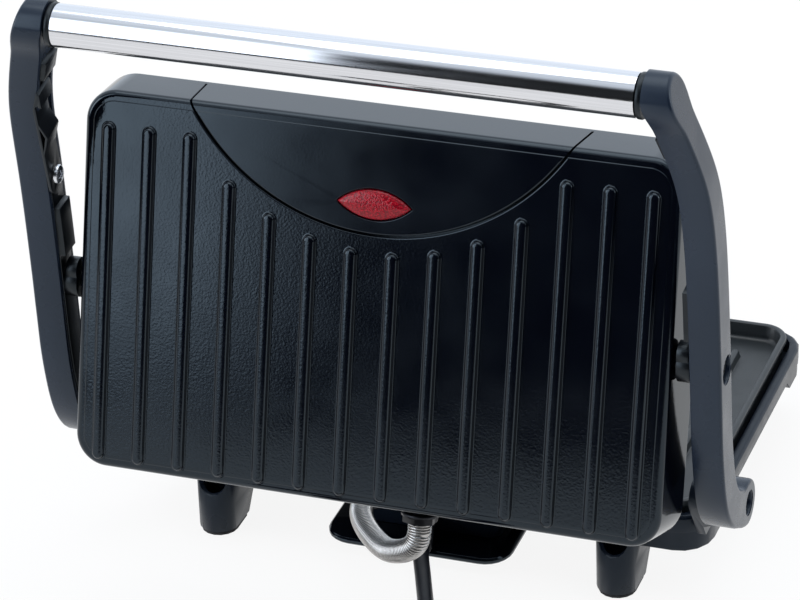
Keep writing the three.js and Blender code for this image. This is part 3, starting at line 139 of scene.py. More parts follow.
COOL = (0.8, 0.92, 1.0, 1)
COLD = (0.72, 0.88, 1.0, 1)
NOISE_START, NOISE_END = 0.3, 0.7  # most values of a noise texture lie between these
SATIN_GRAIN = 0.000012


class Finish:
    """A node material with the few node patterns that the pieces share."""

    def __init__(self, name, roughness, metallic=0.0, **sockets):
        self.material = bpy.data.materials.new(name)
        self.material.use_nodes = True
        self.tree = self.material.node_tree
        self.shader = self.tree.nodes["Principled BSDF"]
        self.shader.inputs["Roughness"].default_value = roughness
        self.shader.inputs["Metallic"].default_value = metallic
        for key, value in sockets.items():
            self.shader.inputs[key.replace("_", " ")].default_value = value
        self.normal = None

    def node(self, kind, **settings):
        return add_node(self.tree, kind, **settings)

    def link(self, a, b):
        self.tree.links.new(a, b)

    def place(self, stretch=(1, 1, 1)):
        coordinates = self.node("ShaderNodeTexCoord")
        mapping = self.node("ShaderNodeMapping", Scale=stretch)
        self.link(coordinates.outputs["Object"], mapping.inputs["Vector"])
        return mapping.outputs["Vector"]

    def noise(self, scale, detail=2.0, stretch=(1, 1, 1)):
        made = self.node("ShaderNodeTexNoise", Scale=scale, Detail=detail)
        self.link(self.place(stretch), made.inputs["Vector"])
        return made.outputs["Fac"]

    def cells(self, scale):
        made = self.node("ShaderNodeTexVoronoi", Scale=scale)
        self.link(self.place(), made.inputs["Vector"])
        return made.outputs["Distance"]

    def colours(self, value, first, second, start=NOISE_START, end=NOISE_END):
        ramp = self.node("ShaderNodeValToRGB")
        for stop, place, colour in zip(ramp.color_ramp.elements, (start, end), (first, second)):
            stop.position = place
            stop.color = (*colour, 1)
        self.link(value, ramp.inputs["Fac"])
        self.link(ramp.outputs["Color"], self.shader.inputs["Base Color"])

    def shine(self, value, low, high):
        roughness = map_range(self.tree, value, NOISE_START, NOISE_END, low, high)
        self.link(roughness, self.shader.inputs["Roughness"])

    def bump(self, value, height):
        """Adds a bump to those that the finish has already."""
        made = self.node("ShaderNodeBump", Strength=1.0, Distance=height)
        self.link(value, made.inputs["Height"])
        if self.normal is not None:
            self.link(self.normal, made.inputs["Normal"])
        self.normal = made.outputs["Normal"]
        self.link(self.normal, self.shader.inputs["Normal"])


def satin_plastic(name, first, second, roughness, shine=0.4):
    made = Finish(name, roughness, Specular_IOR_Level=shine, Specular_Tint=COOL)
    made.colours(made.noise(scale=14, detail=4), first, second)
    made.shine(made.noise(scale=60, detail=5), low=roughness - 0.05, high=roughness + 0.06)
    made.bump(made.noise(scale=2600), height=SATIN_GRAIN)
    made.bump(made.noise(scale=160, detail=3), height=SATIN_GRAIN * 1.5)
    return made.material


def gloss_plastic(name, peel):
    """Black gloss; peel says how strong its orange-peel texture is."""
    made = Finish(name, roughness=0.09, Specular_IOR_Level=0.5, Specular_Tint=COLD)
    made.colours(made.noise(scale=9, detail=3), (0.0007, 0.0011, 0.0032), (0.0013, 0.0019, 0.0048))
    made.shine(made.noise(scale=45, detail=4), low=0.075, high=0.125)
    made.bump(made.noise(scale=1050, detail=1), height=0.000014 * peel)
    made.bump(made.noise(scale=160, detail=1), height=0.000004 * peel)
    return made.material


def coated_plate():
    made = Finish("non_stick", roughness=0.36, Specular_IOR_Level=0.5)
    made.colours(made.noise(scale=1800, detail=3), (0.0075, 0.0105, 0.0125), (0.015, 0.0195, 0.0225))
    made.shine(made.noise(scale=90, detail=4), low=0.3, high=0.42)
    made.bump(made.noise(scale=1500), height=0.00002)
    return made.material


def polished_bar():
    made = Finish("polished_bar", roughness=0.11, metallic=1.0)
    streaks = made.noise(scale=1400, detail=3, stretch=(0.012, 1, 1))
    made.colours(streaks, (0.64, 0.645, 0.67), (0.74, 0.745, 0.77))
    made.shine(made.noise(scale=700, detail=4, stretch=(0.02, 1, 1)), low=0.08, high=0.15)
    made.bump(streaks, height=0.0000025)
    return made.material


def metal(name, first, second, low, high, grain=400, height=0.000006):
    """Metal between two colours and two roughnesses, with its grain in one scale."""
    made = Finish(name, roughness=(low + high) / 2, metallic=1.0)
    made.colours(made.noise(grain, detail=4), first, second)
    made.shine(made.noise(grain * 0.4, detail=4), low, high)
    made.bump(made.noise(grain * 4), height)
    return made.material


def red_prisms():
    made = Finish("red_lens", roughness=0.12, Specular_IOR_Level=0.34)
    prisms = made.cells(scale=1350)
    made.colours(prisms, (0.5, 0.003, 0.017), (0.18, 0.001, 0.007), start=0.1)
    made.bump(prisms, height=-0.0001)
    made.shine(made.noise(scale=300), low=0.1, high=0.2)
    return made.material


def rubbery(name, first, second, roughness):
    made = Finish(name, roughness, Specular_IOR_Level=0.3)
    made.colours(made.noise(scale=40, detail=4), first, second)
    made.shine(made.noise(scale=220, detail=4), low=roughness - 0.07, high=roughness + 0.07)
    made.bump(made.noise(scale=1700, detail=3), height=0.000018)
    return made.material


def lamp_glass():
    made = Finish("lamp_glass", roughness=0.08, Transmission_Weight=0.7, IOR=1.48)
    made.colours(made.noise(scale=200), (0.9, 0.55, 0.25), (0.95, 0.7, 0.4))
    made.shine(made.noise(scale=160), low=0.05, high=0.12)
    return made.material


LOOKS = {
    "casing": satin_plastic(
        "slate_plastic", (0.0095, 0.015, 0.0275), (0.0135, 0.0205, 0.036), roughness=0.28, shine=0.36),
    "base_plastic": satin_plastic(
        "slate_base", (0.005, 0.0075, 0.0135), (0.0075, 0.011, 0.0185), roughness=0.3, shine=0.24),
    "lid_gloss": gloss_plastic("gloss_black", peel=1),
    "panel_gloss": gloss_plastic("smooth_black", peel=0.15),
    "black_plastic": satin_plastic(
        "black_plastic", (0.0016, 0.002, 0.0032), (0.003, 0.0036, 0.0052), roughness=0.33),
    "plate": coated_plate(),
    "bar": polished_bar(),
    "steel": metal("plain_steel", (0.52, 0.53, 0.55), (0.68, 0.69, 0.71), low=0.24, high=0.4),
    "screw": metal("zinc_screw", (0.62, 0.64, 0.68), (0.75, 0.77, 0.8), low=0.18, high=0.3, grain=900),
    "hose": metal(
        "wound_steel", (0.4, 0.39, 0.38), (0.47, 0.46, 0.45), low=0.22, high=0.27,
        grain=500, height=0.000002),
    "dark_steel": metal("blackened_steel", (0.02, 0.021, 0.024), (0.04, 0.041, 0.046), low=0.3, high=0.45),
    "lens": red_prisms(),
    "lamp": lamp_glass(),
    "cord": rubbery("cord_sheath", (0.0025, 0.0035, 0.0065), (0.005, 0.0065, 0.01), roughness=0.4),
    "rubber": rubbery("pad_rubber", (0.016, 0.016, 0.018), (0.026, 0.026, 0.028), roughness=0.72),
}

# Mesh helpers

MERGE_METRES = 1e-6
LEAST_RADIUS = 1e-4
LEAST_STEP = 1e-6
LEAST_CORNER_SHARE = 0.2
SHARP_DEGREES = 32


def moved(points, matrix):
    a = np.array(matrix, float)
    return np.asarray(points, float) @ a[:3, :3].T + a[:3, 3]


def in_metres(place):
    """A placing in millimetres, as one for a mesh in metres."""
    return TO_METRES @ place @ TO_METRES.inverted()


def shade(mesh, angle=SHARP_DEGREES):
    mesh.shade_smooth()
    mesh.set_sharp_from_angle(angle=math.radians(angle))


def mesh_of(name, points, faces):
    mesh = bpy.data.meshes.new(name)
    mesh.from_pydata([tuple(p) for p in np.asarray(points, float) * MM], [], faces)
    mesh.update()
    made = bmesh.new()
    made.from_mesh(mesh)
    bmesh.ops.remove_doubles(made, verts=made.verts, dist=MERGE_METRES)
    bmesh.ops.dissolve_degenerate(made, edges=made.edges, dist=MERGE_METRES)
    bmesh.ops.recalc_face_normals(made, faces=made.faces)
    made.to_mesh(mesh)
    made.free()
    return mesh


def thing(name, points, faces):
    return added(name, mesh_of(name, points, faces))


def dress(made, look, body, replaces=(), angle=SHARP_DEGREES):
    """Gives a new piece its material and body, and hides the nodes that it replaces."""
    if made.type == "MESH":
        shade(made.data, angle)
    made.data.materials.clear()
    made.data.materials.append(LOOKS[look])
    if body:
        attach(made, body)
    if replaces:
        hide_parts(*replaces)
    return made


class Parts:
    """Points and faces of several bodies that become one mesh."""

    def __init__(self):
        self.points, self.faces = [], []

    def add(self, points, faces):
        start = len(self.points)
        self.points.extend(np.asarray(points, float).tolist())
        self.faces.extend([tuple(start + i for i in f) for f in faces])

    def place(self, matrix):
        self.points = moved(self.points, matrix).tolist()
        return self

    def thing(self, name):
        return thing(name, self.points, self.faces)


def loft(rings, caps=True):
    """Rings of equal count become a skin; caps close the first and the last one."""
    rings = [np.asarray(r, float) for r in rings]
    count = len(rings[0])
    faces = []
    for k in range(len(rings) - 1):
        a, b = k * count, (k + 1) * count
        for i in range(count):
            j = (i + 1) % count
            faces.append((a + i, a + j, b + j, b + i))
    if caps:
        faces.append(tuple(range(count - 1, -1, -1)))
        last = (len(rings) - 1) * count
        faces.append(tuple(last + i for i in range(count)))
    return np.concatenate(rings), faces


def rounded(x0, x1, y0, y1, radius, steps):
    """Points of a rectangle with round corners, anticlockwise."""
    out = []
    for cx, cy, turn in (
        (x1 - radius, y1 - radius, 0), (x0 + radius, y1 - radius, 90),
        (x0 + radius, y0 + radius, 180), (x1 - radius, y0 + radius, 270),
    ):
        for k in range(steps + 1):
            a = math.radians(turn + 90 * k / steps)
            out.append((cx + radius * math.cos(a), cy + radius * math.sin(a)))
    return np.array(out)


def grown(box, corner, grow, level, steps):
    """A rounded rectangle grown by so much, as a ring at a level."""
    x0, x1, y0, y1 = box
    radius = max(corner + grow, corner * LEAST_CORNER_SHARE)
    ring = rounded(x0 - grow, x1 + grow, y0 - grow, y1 + grow, radius, steps)
    return np.column_stack([ring, np.full(len(ring), level)])


def arc(radius, start, end, steps):
    """Points on an arc round the origin, between two angles in degrees."""
    turns = [math.radians(start + (end - start) * k / steps) for k in range(steps + 1)]
    return [(radius * math.cos(a), radius * math.sin(a)) for a in turns]


def stadium(half, x, y0, y1, steps=8):
    """A bar with round ends whose end centres stay at y0 and y1."""
    turns = np.linspace(0, math.pi, steps + 1)
    out = [(x + half * math.cos(a), y1 + half * math.sin(a)) for a in turns]
    out += [(x - half * math.cos(a), y0 - half * math.sin(a)) for a in turns]
    return np.array(out)


def rib(x, y0, y1, profile, level, way=1):
    """A long raised rib with filleted foot and rounded crown; profile is half width and height."""
    rings = []
    for half, high in profile:
        ring = stadium(half, x, y0, y1)
        rings.append(np.column_stack([ring, np.full(len(ring), level + way * high)]))
    return loft(rings)


def turn_to(axis):
    """The rotation that turns the Z axis to an axis."""
    return Vector(Z_AXIS).rotation_difference(Vector(axis).normalized()).to_matrix().to_4x4()


def lathe(profile, origin=(0, 0, 0), axis=Y_AXIS, steps=48):
    """Radius and distance pairs turned round an axis."""
    a = np.linspace(0, WHOLE_TURN, steps, endpoint=False)
    rings = []
    for radius, along in profile:
        radius = max(radius, LEAST_RADIUS)
        rings.append(np.column_stack([radius * np.cos(a), radius * np.sin(a), np.full(steps, along)]))
    points, faces = loft(rings)
    return moved(points, Matrix.Translation(origin) @ turn_to(axis)), faces


def rod(radius, a, b, steps):
    """A round bar between two points."""
    a, b = Vector(a), Vector(b)
    return lathe([(radius, 0), (radius, (b - a).length)], a, b - a, steps)


def boolean(made, operation, points, faces):
    """Cuts a closed body out of a piece, or keeps only what lies in it."""
    cutter = thing("cutter", points, faces)
    change = made.modifiers.new("cut", "BOOLEAN")
    change.operation = operation
    change.solver = "EXACT"
    change.object = cutter
    bpy.context.view_layer.update()
    new = bpy.data.meshes.new_from_object(made.evaluated_get(bpy.context.evaluated_depsgraph_get()))
    made.modifiers.clear()
    old = made.data
    made.data = new
    bpy.data.meshes.remove(old)
    bpy.data.objects.remove(cutter)


def joined(made, points, faces):
    """Adds bodies to a finished mesh."""
    extra = mesh_of("extra", points, faces)
    work = bmesh.new()
    work.from_mesh(made.data)
    work.from_mesh(extra)
    work.to_mesh(made.data)
    work.free()
    bpy.data.meshes.remove(extra)


# Cord: out of the wiring block, into a coil behind the grill and on to its plug

CORD_R = 3.4
CORD_D = 2 * CORD_R
EXIT_ASIDE, EXIT_DOWN = math.radians(16.7), math.radians(2.9)
RELIEF_LENGTH, RELIEF_MOUTH = 22, 0.3
COIL_X, COIL_Y, COIL_LOW = 2, 156, 4.6
COIL_OUT, COIL_TURNS, COIL_PITCH, COIL_LAYER = 44, 3.25, 7.4, 7.4
COIL_FROM = math.radians(199.6)
COIL_POINTS = 78
CLIMB_TURNS = 0.5
NEAR_TURN = 0.01  # near enough to a coil's end to give its direction there
LEAD_SHARES = ((0.169, 0.185, 0.37), (0.292, 0.303, 0.781), (0.431, 0.437, 0.986), (0.606, 0.601, 1),
               (0.775, 0.772, 1))
TAIL_SHARES = ((0.385, 0.408, 0.254), (0.672, 0.76, 0.762))
PLUG_TURN = math.radians(9.8)
CORD_POINTS_EACH = 3
CORD_BEVEL_STEPS = 5

cord_start = Vector((0, 38.4, 13))
cord_way = Vector((-math.sin(EXIT_ASIDE), math.cos(EXIT_ASIDE), -math.tan(EXIT_DOWN)))
cord_way.normalize()
relief_tip = cord_start + cord_way * RELIEF_LENGTH
plug_rear = Vector((36, 214.5, 18.3))
plug_way = Vector((math.cos(PLUG_TURN), math.sin(PLUG_TURN), 0))


def coil_point(turn):
    """A point of the coil, which winds inwards, climbs a layer and winds outwards again."""
    radius = COIL_OUT - COIL_PITCH * min(turn, COIL_TURNS - turn)
    t = min(max((turn - COIL_TURNS / 2 + CLIMB_TURNS / 2) / CLIMB_TURNS, 0), 1)
    a = COIL_FROM - WHOLE_TURN * turn
    high = COIL_LOW + COIL_LAYER * (t * t * (3 - 2 * t))
    return Vector((COIL_X + radius * math.cos(a), COIL_Y + radius * math.sin(a), high))


def between(a, b, shares):
    """Points at shares of the way from a to b, one share for each axis."""
    return [Vector([a[i] + (b[i] - a[i]) * s[i] for i in range(3)]) for s in shares]


def cord_points():
    """The route chosen for the cord, from its exit to the rear of its plug."""
    coil_start, coil_end = coil_point(0), coil_point(COIL_TURNS)
    start_way = (coil_point(NEAR_TURN) - coil_start).normalized()
    end_way = (coil_end - coil_point(COIL_TURNS - NEAR_TURN)).normalized()
    lead = [cord_start, cord_start + cord_way * (RELIEF_LENGTH / 2)]
    lead += [relief_tip + cord_way * RELIEF_MOUTH, relief_tip + cord_way * CORD_D]
    lead += between(relief_tip, coil_start, LEAD_SHARES)
    lead.append(coil_start - start_way * CORD_D)
    turns = [coil_point(COIL_TURNS * k / COIL_POINTS) for k in range(COIL_POINTS + 1)]
    tail = [coil_end + end_way * CORD_D]
    tail += between(coil_end, plug_rear, TAIL_SHARES)
    tail += [plug_rear - plug_way * CORD_D, plug_rear]
    return lead + turns + tail


def mixed(first, second, start, end, at):
    """Runs evenly from the first at the start to the second at the end."""
    return first * ((end - at) / (end - start)) + second * ((at - start) / (end - start))


def spline_through(points, each):
    """Smooth points through the given ones, spaced along a centripetal curve."""
    points = [points[0] * 2 - points[1], *points, points[-1] * 2 - points[-2]]
    out = []
    for i in range(1, len(points) - 2):
        p = points[i - 1:i + 3]
        t = [0.0]
        for k in range(3):
            t.append(t[-1] + max((p[k + 1] - p[k]).length, LEAST_STEP) ** 0.5)
        for k in range(each):
            u = t[1] + (t[2] - t[1]) * k / each
            a = [mixed(p[j], p[j + 1], t[j], t[j + 1], u) for j in range(3)]
            b = [mixed(a[j], a[j + 1], t[j], t[j + 2], u) for j in range(2)]
            out.append(mixed(b[0], b[1], t[1], t[2], u))
    out.append(points[-2])
    return out


cord_line = spline_through(cord_points(), CORD_POINTS_EACH)


def add_cord():
    curve = bpy.data.curves.new("flex", "CURVE")
    curve.dimensions = "3D"
    curve.bevel_depth = CORD_R * MM
    curve.bevel_resolution = CORD_BEVEL_STEPS
    curve.use_fill_caps = True
    spline = curve.splines.new("POLY")
    spline.points.add(len(cord_line) - 1)
    for point, place in zip(spline.points, cord_line):
        point.co = (*(place * MM), 1)
    spline.use_smooth = True
    replaced = ("power_cord", "power_cord_coil", "power_cord_tail")
    return dress(added("flex", curve), "cord", "base", replaces=replaced)


# Strain relief and plug; their profiles are radius and distance

GROOVED_DEGREES = 40
RELIEF_FOOT = [(3.5, -2.9), (5.8, -2.9), (5.8, 1.9), (5.5, 2.4), (4.8, 2.64)]
RELIEF_RIB = [(-0.55, 0.2), (-0.55, 1.0), (0, 1.4), (-0.08, 3.4), (-0.3, 3.7)]
RELIEF_RIBS, RELIEF_RIB_PITCH = 5, 3.872
RELIEF_RIB_R, RELIEF_TAPER = 5.1, 0.17
RELIEF_END = [(4.0, RELIEF_LENGTH), (CORD_R + 0.05, RELIEF_LENGTH)]

PLUG_R = 18
PLUG_REAR = [(4.4, 0), (4.9, 0.3), (5.3, 5), (6, 12), (8, 13.4), (13.5, 14.16), (15.4, 15.4),
             (16.9, 18), (17.8, 21.5), (PLUG_R, 24)]
PLUG_GROOVE = [(0, 0), (-0.7, 0.5), (-0.7, 1.5), (0, 2)]
PLUG_GROOVES, PLUG_GROOVES_FROM, PLUG_GROOVE_PITCH = 4, 26, 3.4
PLUG_FACE = [(PLUG_R, 43.2), (17.6, 44.6), (16.5, 45.7), (15.8, 46), (0.5, 46)]
PLUG_SIDE_GROOVE, PLUG_SIDE_GROOVE_AT = [(2.6, 26), (2.6, 60)], 18.6
PIN, PIN_AT = [(2.4, 45), (2.4, 62.6), (2.1, 64.2), (1.2, 65)], 9.5


def strain_relief():
    profile = list(RELIEF_FOOT)
    for i in range(RELIEF_RIBS):
        start = RELIEF_FOOT[-1][1] + i * RELIEF_RIB_PITCH
        radius = RELIEF_RIB_R - i * RELIEF_TAPER
        profile += [(radius + out, start + along) for out, along in RELIEF_RIB]
    made = thing("strain_relief", *lathe(profile + RELIEF_END, cord_start, cord_way, steps=40))
    return dress(made, "cord", "base", replaces=("cord_strain_relief",), angle=GROOVED_DEGREES)


def plug():
    """The plug's body and its two pins."""
    profile = list(PLUG_REAR)
    for k in range(PLUG_GROOVES):
        start = PLUG_GROOVES_FROM + k * PLUG_GROOVE_PITCH
        profile += [(PLUG_R + out, start + along) for out, along in PLUG_GROOVE]
    body = thing("plug", *lathe(profile + PLUG_FACE, steps=72))
    for way in (-1, 1):
        boolean(body, "DIFFERENCE", *lathe(PLUG_SIDE_GROOVE, (0, 0, way * PLUG_SIDE_GROOVE_AT), steps=24))
    pins = Parts()
    for way in (-1, 1):
        pins.add(*lathe(PIN, (way * PIN_AT, 0, 0), steps=24))
    turn = Vector(Y_AXIS).rotation_difference(plug_way).to_matrix().to_4x4()
    place = Matrix.Translation(plug_rear) @ turn
    body.data.transform(in_metres(place))
    pins = dress(pins.place(place).thing("plug_pins"), "screw", "base")
    return dress(body, "cord", "base", replaces=("power_plug",), angle=GROOVED_DEGREES), pins


flex = add_cord()
relief = strain_relief()
plug_body, plug_pins = plug()

# Lid: a face with ribs, a half-moon panel in it and the red lens; its frame is x, s up the face, depth

LID_PIVOT = (86.4984, 134.5027)
LID = Matrix.Translation((0, *LID_PIVOT)) @ Matrix.Rotation(math.radians(104.7), 4, "X")
FACE = (-125, 125, -75.787, 82.213)
FACE_CORNER, FACE_CORNER_STEPS = 13, 14
FACE_OUT, RIM, DRAFT = 8.3, 17, 3
LID_EDGE, LID_EDGE_TO_DEGREES, LID_EDGE_STEPS = 3.1, 7, 10
BORDER_DROP = 0.3
BORDER_STEP = [(0, 2.2), (0, 1.0), (0.08, 0.8), (BORDER_DROP, 0.55)]  # depth below the face, way in

PANEL_C, PANEL_R, PANEL_WALL = 130.813, 93.6, 2.4
PANEL_BACK = -FACE_OUT + PANEL_WALL
PANEL_LIP = 0.3
LID_SEAM, PANEL_SEAM = (1.15, 0.6), (-0.9, -0.3)  # from the panel's radius: at the face, below its shoulder
SEAM_ABOVE, SEAM_DEPTH, SEAM_STEPS = 6, 14.2, 220
SHOULDER, SHOULDER_START, SHOULDER_STEPS = 0.55, 0.02, 4
LEDGE_IN, LEDGE_OUT, LEDGE_THICK, LEDGE_STEPS = 4, 3.4, 1.8, 160

LENS_S, LENS_HALF, LENS_HIGH, LENS_STEPS = 49.513, 15.5, 6, 28
WINDOW = [(1.0, -3), (1.0, 0), (0.75, 0.12), (0.45, 0.45), (0.35, 1.0), (0.35, FACE_OUT)]  # growth, depth
LENS_FLANGE, LENS_FLANGE_DEPTH, LENS_SHOULDER = 1.4, 1.7, 0.5
LENS_CROWN = [(-0.12, 0.15), (-0.45, -0.2), (-1.1, -0.53), (-2.2, -0.88), (-3.5, -1.13),
              (-4.8, -1.27), (-5.6, -1.31)]  # growth, depth below the face

LID_RIBS, LID_RIB_PITCH, LID_RIB_HALF = 14, 17.6, 2.75
RIB_FOOT_GAP, RIB_TOP_GAP, RIB_PANEL_GAP = 3, 12.7, 6.6
LID_RIB = [(3.45, -0.02), (3.2, 0.01), (2.95, 0.08), (2.76, 0.24), (2.6, 0.5), (2.4, 1.0), (2.2, 1.4),
           (1.92, 1.72), (1.55, 1.93), (1.1, 2.0), (0.6, 2.02), (0.1, 2.02)]


def draft(depth):
    """How far the lid's wall has grown outwards at a depth."""
    return DRAFT * (depth + FACE_OUT) / (FACE_OUT + RIM)


# Depth and growth of the outline, from the rounded edge down the outside and up again inside
LID_SIDE = [(0, draft(0)), (RIM - 0.9, draft(RIM - 0.9)), (RIM - 0.3, draft(RIM) - 0.12),
            (RIM, draft(RIM) - 0.6)]
LID_RIM = [(RIM, -0.2), (RIM - 0.4, -1.6), (14.3, -1.6)]
LID_INSIDE = [(14.3, draft(RIM) - 5.6), (10, -2.6), (-5.2, -2.8), (-5.9, -4)]
PANEL_INSIDE = [(14, draft(14) - 0.1), (14, draft(14) - 2.4), (-5.3, -2.6), (-5.9, -3.6)]
LEDGE_ROOM = [(PANEL_BACK - 1, -3.2), (PANEL_BACK + 6, -2.9)]


def lid_rings(levels):
    """The lid's rounded outline at depths, each with its growth."""
    return [grown(FACE, FACE_CORNER, grow, depth, FACE_CORNER_STEPS) for depth, grow in levels]


def lid_skin():
    """Outside of the lid from its face to its rim, as depth and growth."""
    border = -FACE_OUT + BORDER_DROP
    levels = [(-FACE_OUT + drop, -LID_EDGE - inset) for drop, inset in BORDER_STEP]
    for x, y in arc(LID_EDGE, 90, LID_EDGE_TO_DEGREES, LID_EDGE_STEPS):
        levels.append((border + LID_EDGE - y, x - LID_EDGE + draft(LID_EDGE - FACE_OUT)))
    return levels + LID_SIDE


def seam_disc(face_change, change):
    """A disc whose edge turns over a rounded shoulder at the lid's face."""
    face_radius, radius = PANEL_R + face_change, PANEL_R + change
    profile = [(face_radius, -FACE_OUT - SEAM_ABOVE), (face_radius, -FACE_OUT + SHOULDER_START)]
    for k in range(1, SHOULDER_STEPS + 1):
        a = math.radians(90 * k / SHOULDER_STEPS)
        out = face_radius + (radius - face_radius) * math.sin(a)
        profile.append((out, -FACE_OUT + SHOULDER * (1 - math.cos(a))))
    profile.append((radius, SEAM_DEPTH))
    return lathe(profile, (0, PANEL_C, 0), Z_AXIS, SEAM_STEPS)


def almond(grow, level):
    """The lens outline grown by so much: two arcs that meet in two points."""
    half, high = LENS_HALF + grow, LENS_HIGH + grow
    radius = (half * half + high * high) / (2 * high)
    spread = math.asin(half / radius)
    turns = np.linspace(spread, -spread, LENS_STEPS)
    out = [(radius * math.sin(a), LENS_S + high - radius + radius * math.cos(a)) for a in turns]
    out += [(-radius * math.sin(a), LENS_S - high + radius - radius * math.cos(a)) for a in turns][1:-1]
    return np.column_stack([np.array(out), np.full(len(out), level)])


def lid_ribs():
    """Ribs down the whole face, the middle ones only to below the panel."""
    made = Parts()
    low = RIB_FOOT_GAP + FACE[2] + LID_RIB_HALF
    top = FACE[3] - RIB_TOP_GAP - LID_RIB_HALF
    for i in range(LID_RIBS):
        x = (i - (LID_RIBS - 1) / 2) * LID_RIB_PITCH
        reach = (PANEL_R + RIB_PANEL_GAP) ** 2 - x * x
        high = min(top, PANEL_C - math.sqrt(reach) - LID_RIB_HALF) if reach > 0 else top
        made.add(*rib(x, low, high, LID_RIB, -FACE_OUT, -1))
    return made.points, made.faces


def ledge():
    """The ring behind the seam that carries the panel, cut to the room inside the lid, in millimetres."""
    near, far = PANEL_BACK + PANEL_LIP, PANEL_BACK + PANEL_LIP + LEDGE_THICK
    inner, outer = PANEL_R - LEDGE_IN, PANEL_R + LEDGE_OUT
    corners = [(inner, near), (outer, near), (outer, far), (inner, far)]
    points, faces = lathe(corners, (0, PANEL_C, 0), Z_AXIS, LEDGE_STEPS)
    last = (len(corners) - 1) * LEDGE_STEPS
    bore = []
    for i in range(LEDGE_STEPS):
        j = (i + 1) % LEDGE_STEPS
        bore.append((i, j, last + j, last + i))
    body = thing("ledge", points, faces[:-2] + bore)
    boolean(body, "INTERSECT", *loft(lid_rings(LEDGE_ROOM)))
    body.data.transform(Matrix.Scale(1 / MM, 4))
    points = [tuple(v.co) for v in body.data.vertices]
    faces = [tuple(p.vertices) for p in body.data.polygons]
    bpy.data.objects.remove(body)
    return points, faces


def lid_shell():
    made = thing("lid_shell", *loft(lid_rings(lid_skin() + LID_RIM + LID_INSIDE)))
    boolean(made, "DIFFERENCE", *seam_disc(*LID_SEAM))
    joined(made, *lid_ribs())
    joined(made, *ledge())
    return made


def half_moon_panel():
    made = thing("half_moon_panel", *loft(lid_rings(lid_skin()[:-2] + PANEL_INSIDE)))
    boolean(made, "INTERSECT", *seam_disc(*PANEL_SEAM))
    boolean(made, "DIFFERENCE", *loft([almond(grow, -FACE_OUT + depth) for grow, depth in WINDOW]))
    return made


def red_lens():
    levels = [(LENS_FLANGE, PANEL_BACK + LENS_FLANGE_DEPTH), (LENS_FLANGE, PANEL_BACK + PANEL_LIP),
              (0, PANEL_BACK + PANEL_LIP), (0, -FACE_OUT + LENS_SHOULDER)]
    levels += [(grow, -FACE_OUT + depth) for grow, depth in LENS_CROWN]
    return thing("red_lens", *loft([almond(grow, level) for grow, level in levels]))


lid, panel, lens = lid_shell(), half_moon_panel(), red_lens()
for made in (lid, panel, lens):
    made.data.transform(in_metres(LID))
dress(lid, "lid_gloss", "lid", replaces=("lid_housing",))
dress(panel, "panel_gloss", "lid", ("lid_front_panel",))
dress(lens, "lens", "lid", replaces=("indicator_lens",))
for made in (lid, panel):
    fair = made.modifiers.new("fair", "WEIGHTED_NORMAL")
    fair.keep_sharp = True
    fair.weight = 100

# Cooking plates; levels are height against the rim's top and growth of the outline

PLATE = (-120.5, 120.5, -78.25, 78.25)
PLATE_CORNER, PLATE_CORNER_STEPS = 12, 12
LOWER_PLATE_PLACE = (0, -38.25, 40.4)
UPPER_PLATE_SPAN, UPPER_PLATE_DEPTH = (-75.037, 81.463), 28
PLATE_LEVELS = [
    (-10, -5.6), (-10, -4.9), (-11, -4.8), (-11, -2.0), (-3.7, -1.1), (-3.3, -0.9), (-3.0, -0.15), (-2.7, 0),
    (-1.0, 0), (-0.55, -0.12), (-0.2, -0.4), (0, -0.9), (0, -2.1), (-0.2, -2.6), (-0.7, -2.95), (-5.4, -3.5),
    (-6.2, -3.8), (-6.8, -4.5), (-7.0, -5.5), (-7.0, -6.5),
]
PLATE_RIB = [(2.9, -0.02), (2.6, 0.03), (2.35, 0.2), (2.2, 0.5), (1.95, 2.3), (1.75, 2.8), (1.4, 3.15),
             (0.9, 3.35), (0.3, 3.4)]
PLATE_RIBS, PLATE_RIB_PITCH, PLATE_RIB_REACH, PLATE_RIB_FOOT = 11, 20, 56.9, -7


def cooking_plate(name, place, body, replaced):
    made = Parts()
    rings = [grown(PLATE, PLATE_CORNER, grow, high, PLATE_CORNER_STEPS) for high, grow in PLATE_LEVELS]
    made.add(*loft(rings))
    for i in range(PLATE_RIBS):
        x = (i - (PLATE_RIBS - 1) / 2) * PLATE_RIB_PITCH
        made.add(*rib(x, -PLATE_RIB_REACH, PLATE_RIB_REACH, PLATE_RIB, PLATE_RIB_FOOT))
    dress(made.place(place).thing(name), "plate", body, replaces=(replaced,))


upper_plate_place = (0, sum(UPPER_PLATE_SPAN) / 2, UPPER_PLATE_DEPTH)
cooking_plate("lower_plate", Matrix.Translation(LOWER_PLATE_PLACE), "base", "lower_cooking_plate")
cooking_plate("upper_plate", LID @ Matrix.Translation(upper_plate_place), "lid", "upper_cooking_plate")

# Arms: each follows a curve from the hinge to the bar; places are y and z

PIVOT = (52, 53)
BAR = (110, 261.5)
LATCH = (95, 187)
ARM_SHARES = [(0, 0), (0.155, 0.012), (0.345, 0.046), (0.483, 0.11), (0.569, 0.216), (0.6, 0.32),
              (0.625, 0.43), (0.672, 0.58), (0.729, 0.695), (0.828, 0.825), (1, 1)]
ARM_HALF, ARM_IN, ARM_OUT = 7.9, 133, 145.8
ARM_FOOT_R, ARM_HEAD_R, ARM_SWELL = 10, 10.2, 12
ARM_POINTS, ARM_KNOT_STEPS, ARM_RINGS, ARM_CAP_STEPS = 400, 40, 72, 10
ARM_ROUND, ARM_ROUND_STEPS = 1.4, 7
ARM_INNER_EDGE = [(0, 1.6), (0, 0.5), (0.15, 0.15), (0.5, 0)]  # distance from ARM_IN, inset
ARM_OUTER_FACE = (0.5, 1.6)  # insets past the rounded edge
BEND_Z, BEND_SOFT, LEAN = 223.7, 16.0, math.tan(math.radians(17.2))
BAR_END = 118.3
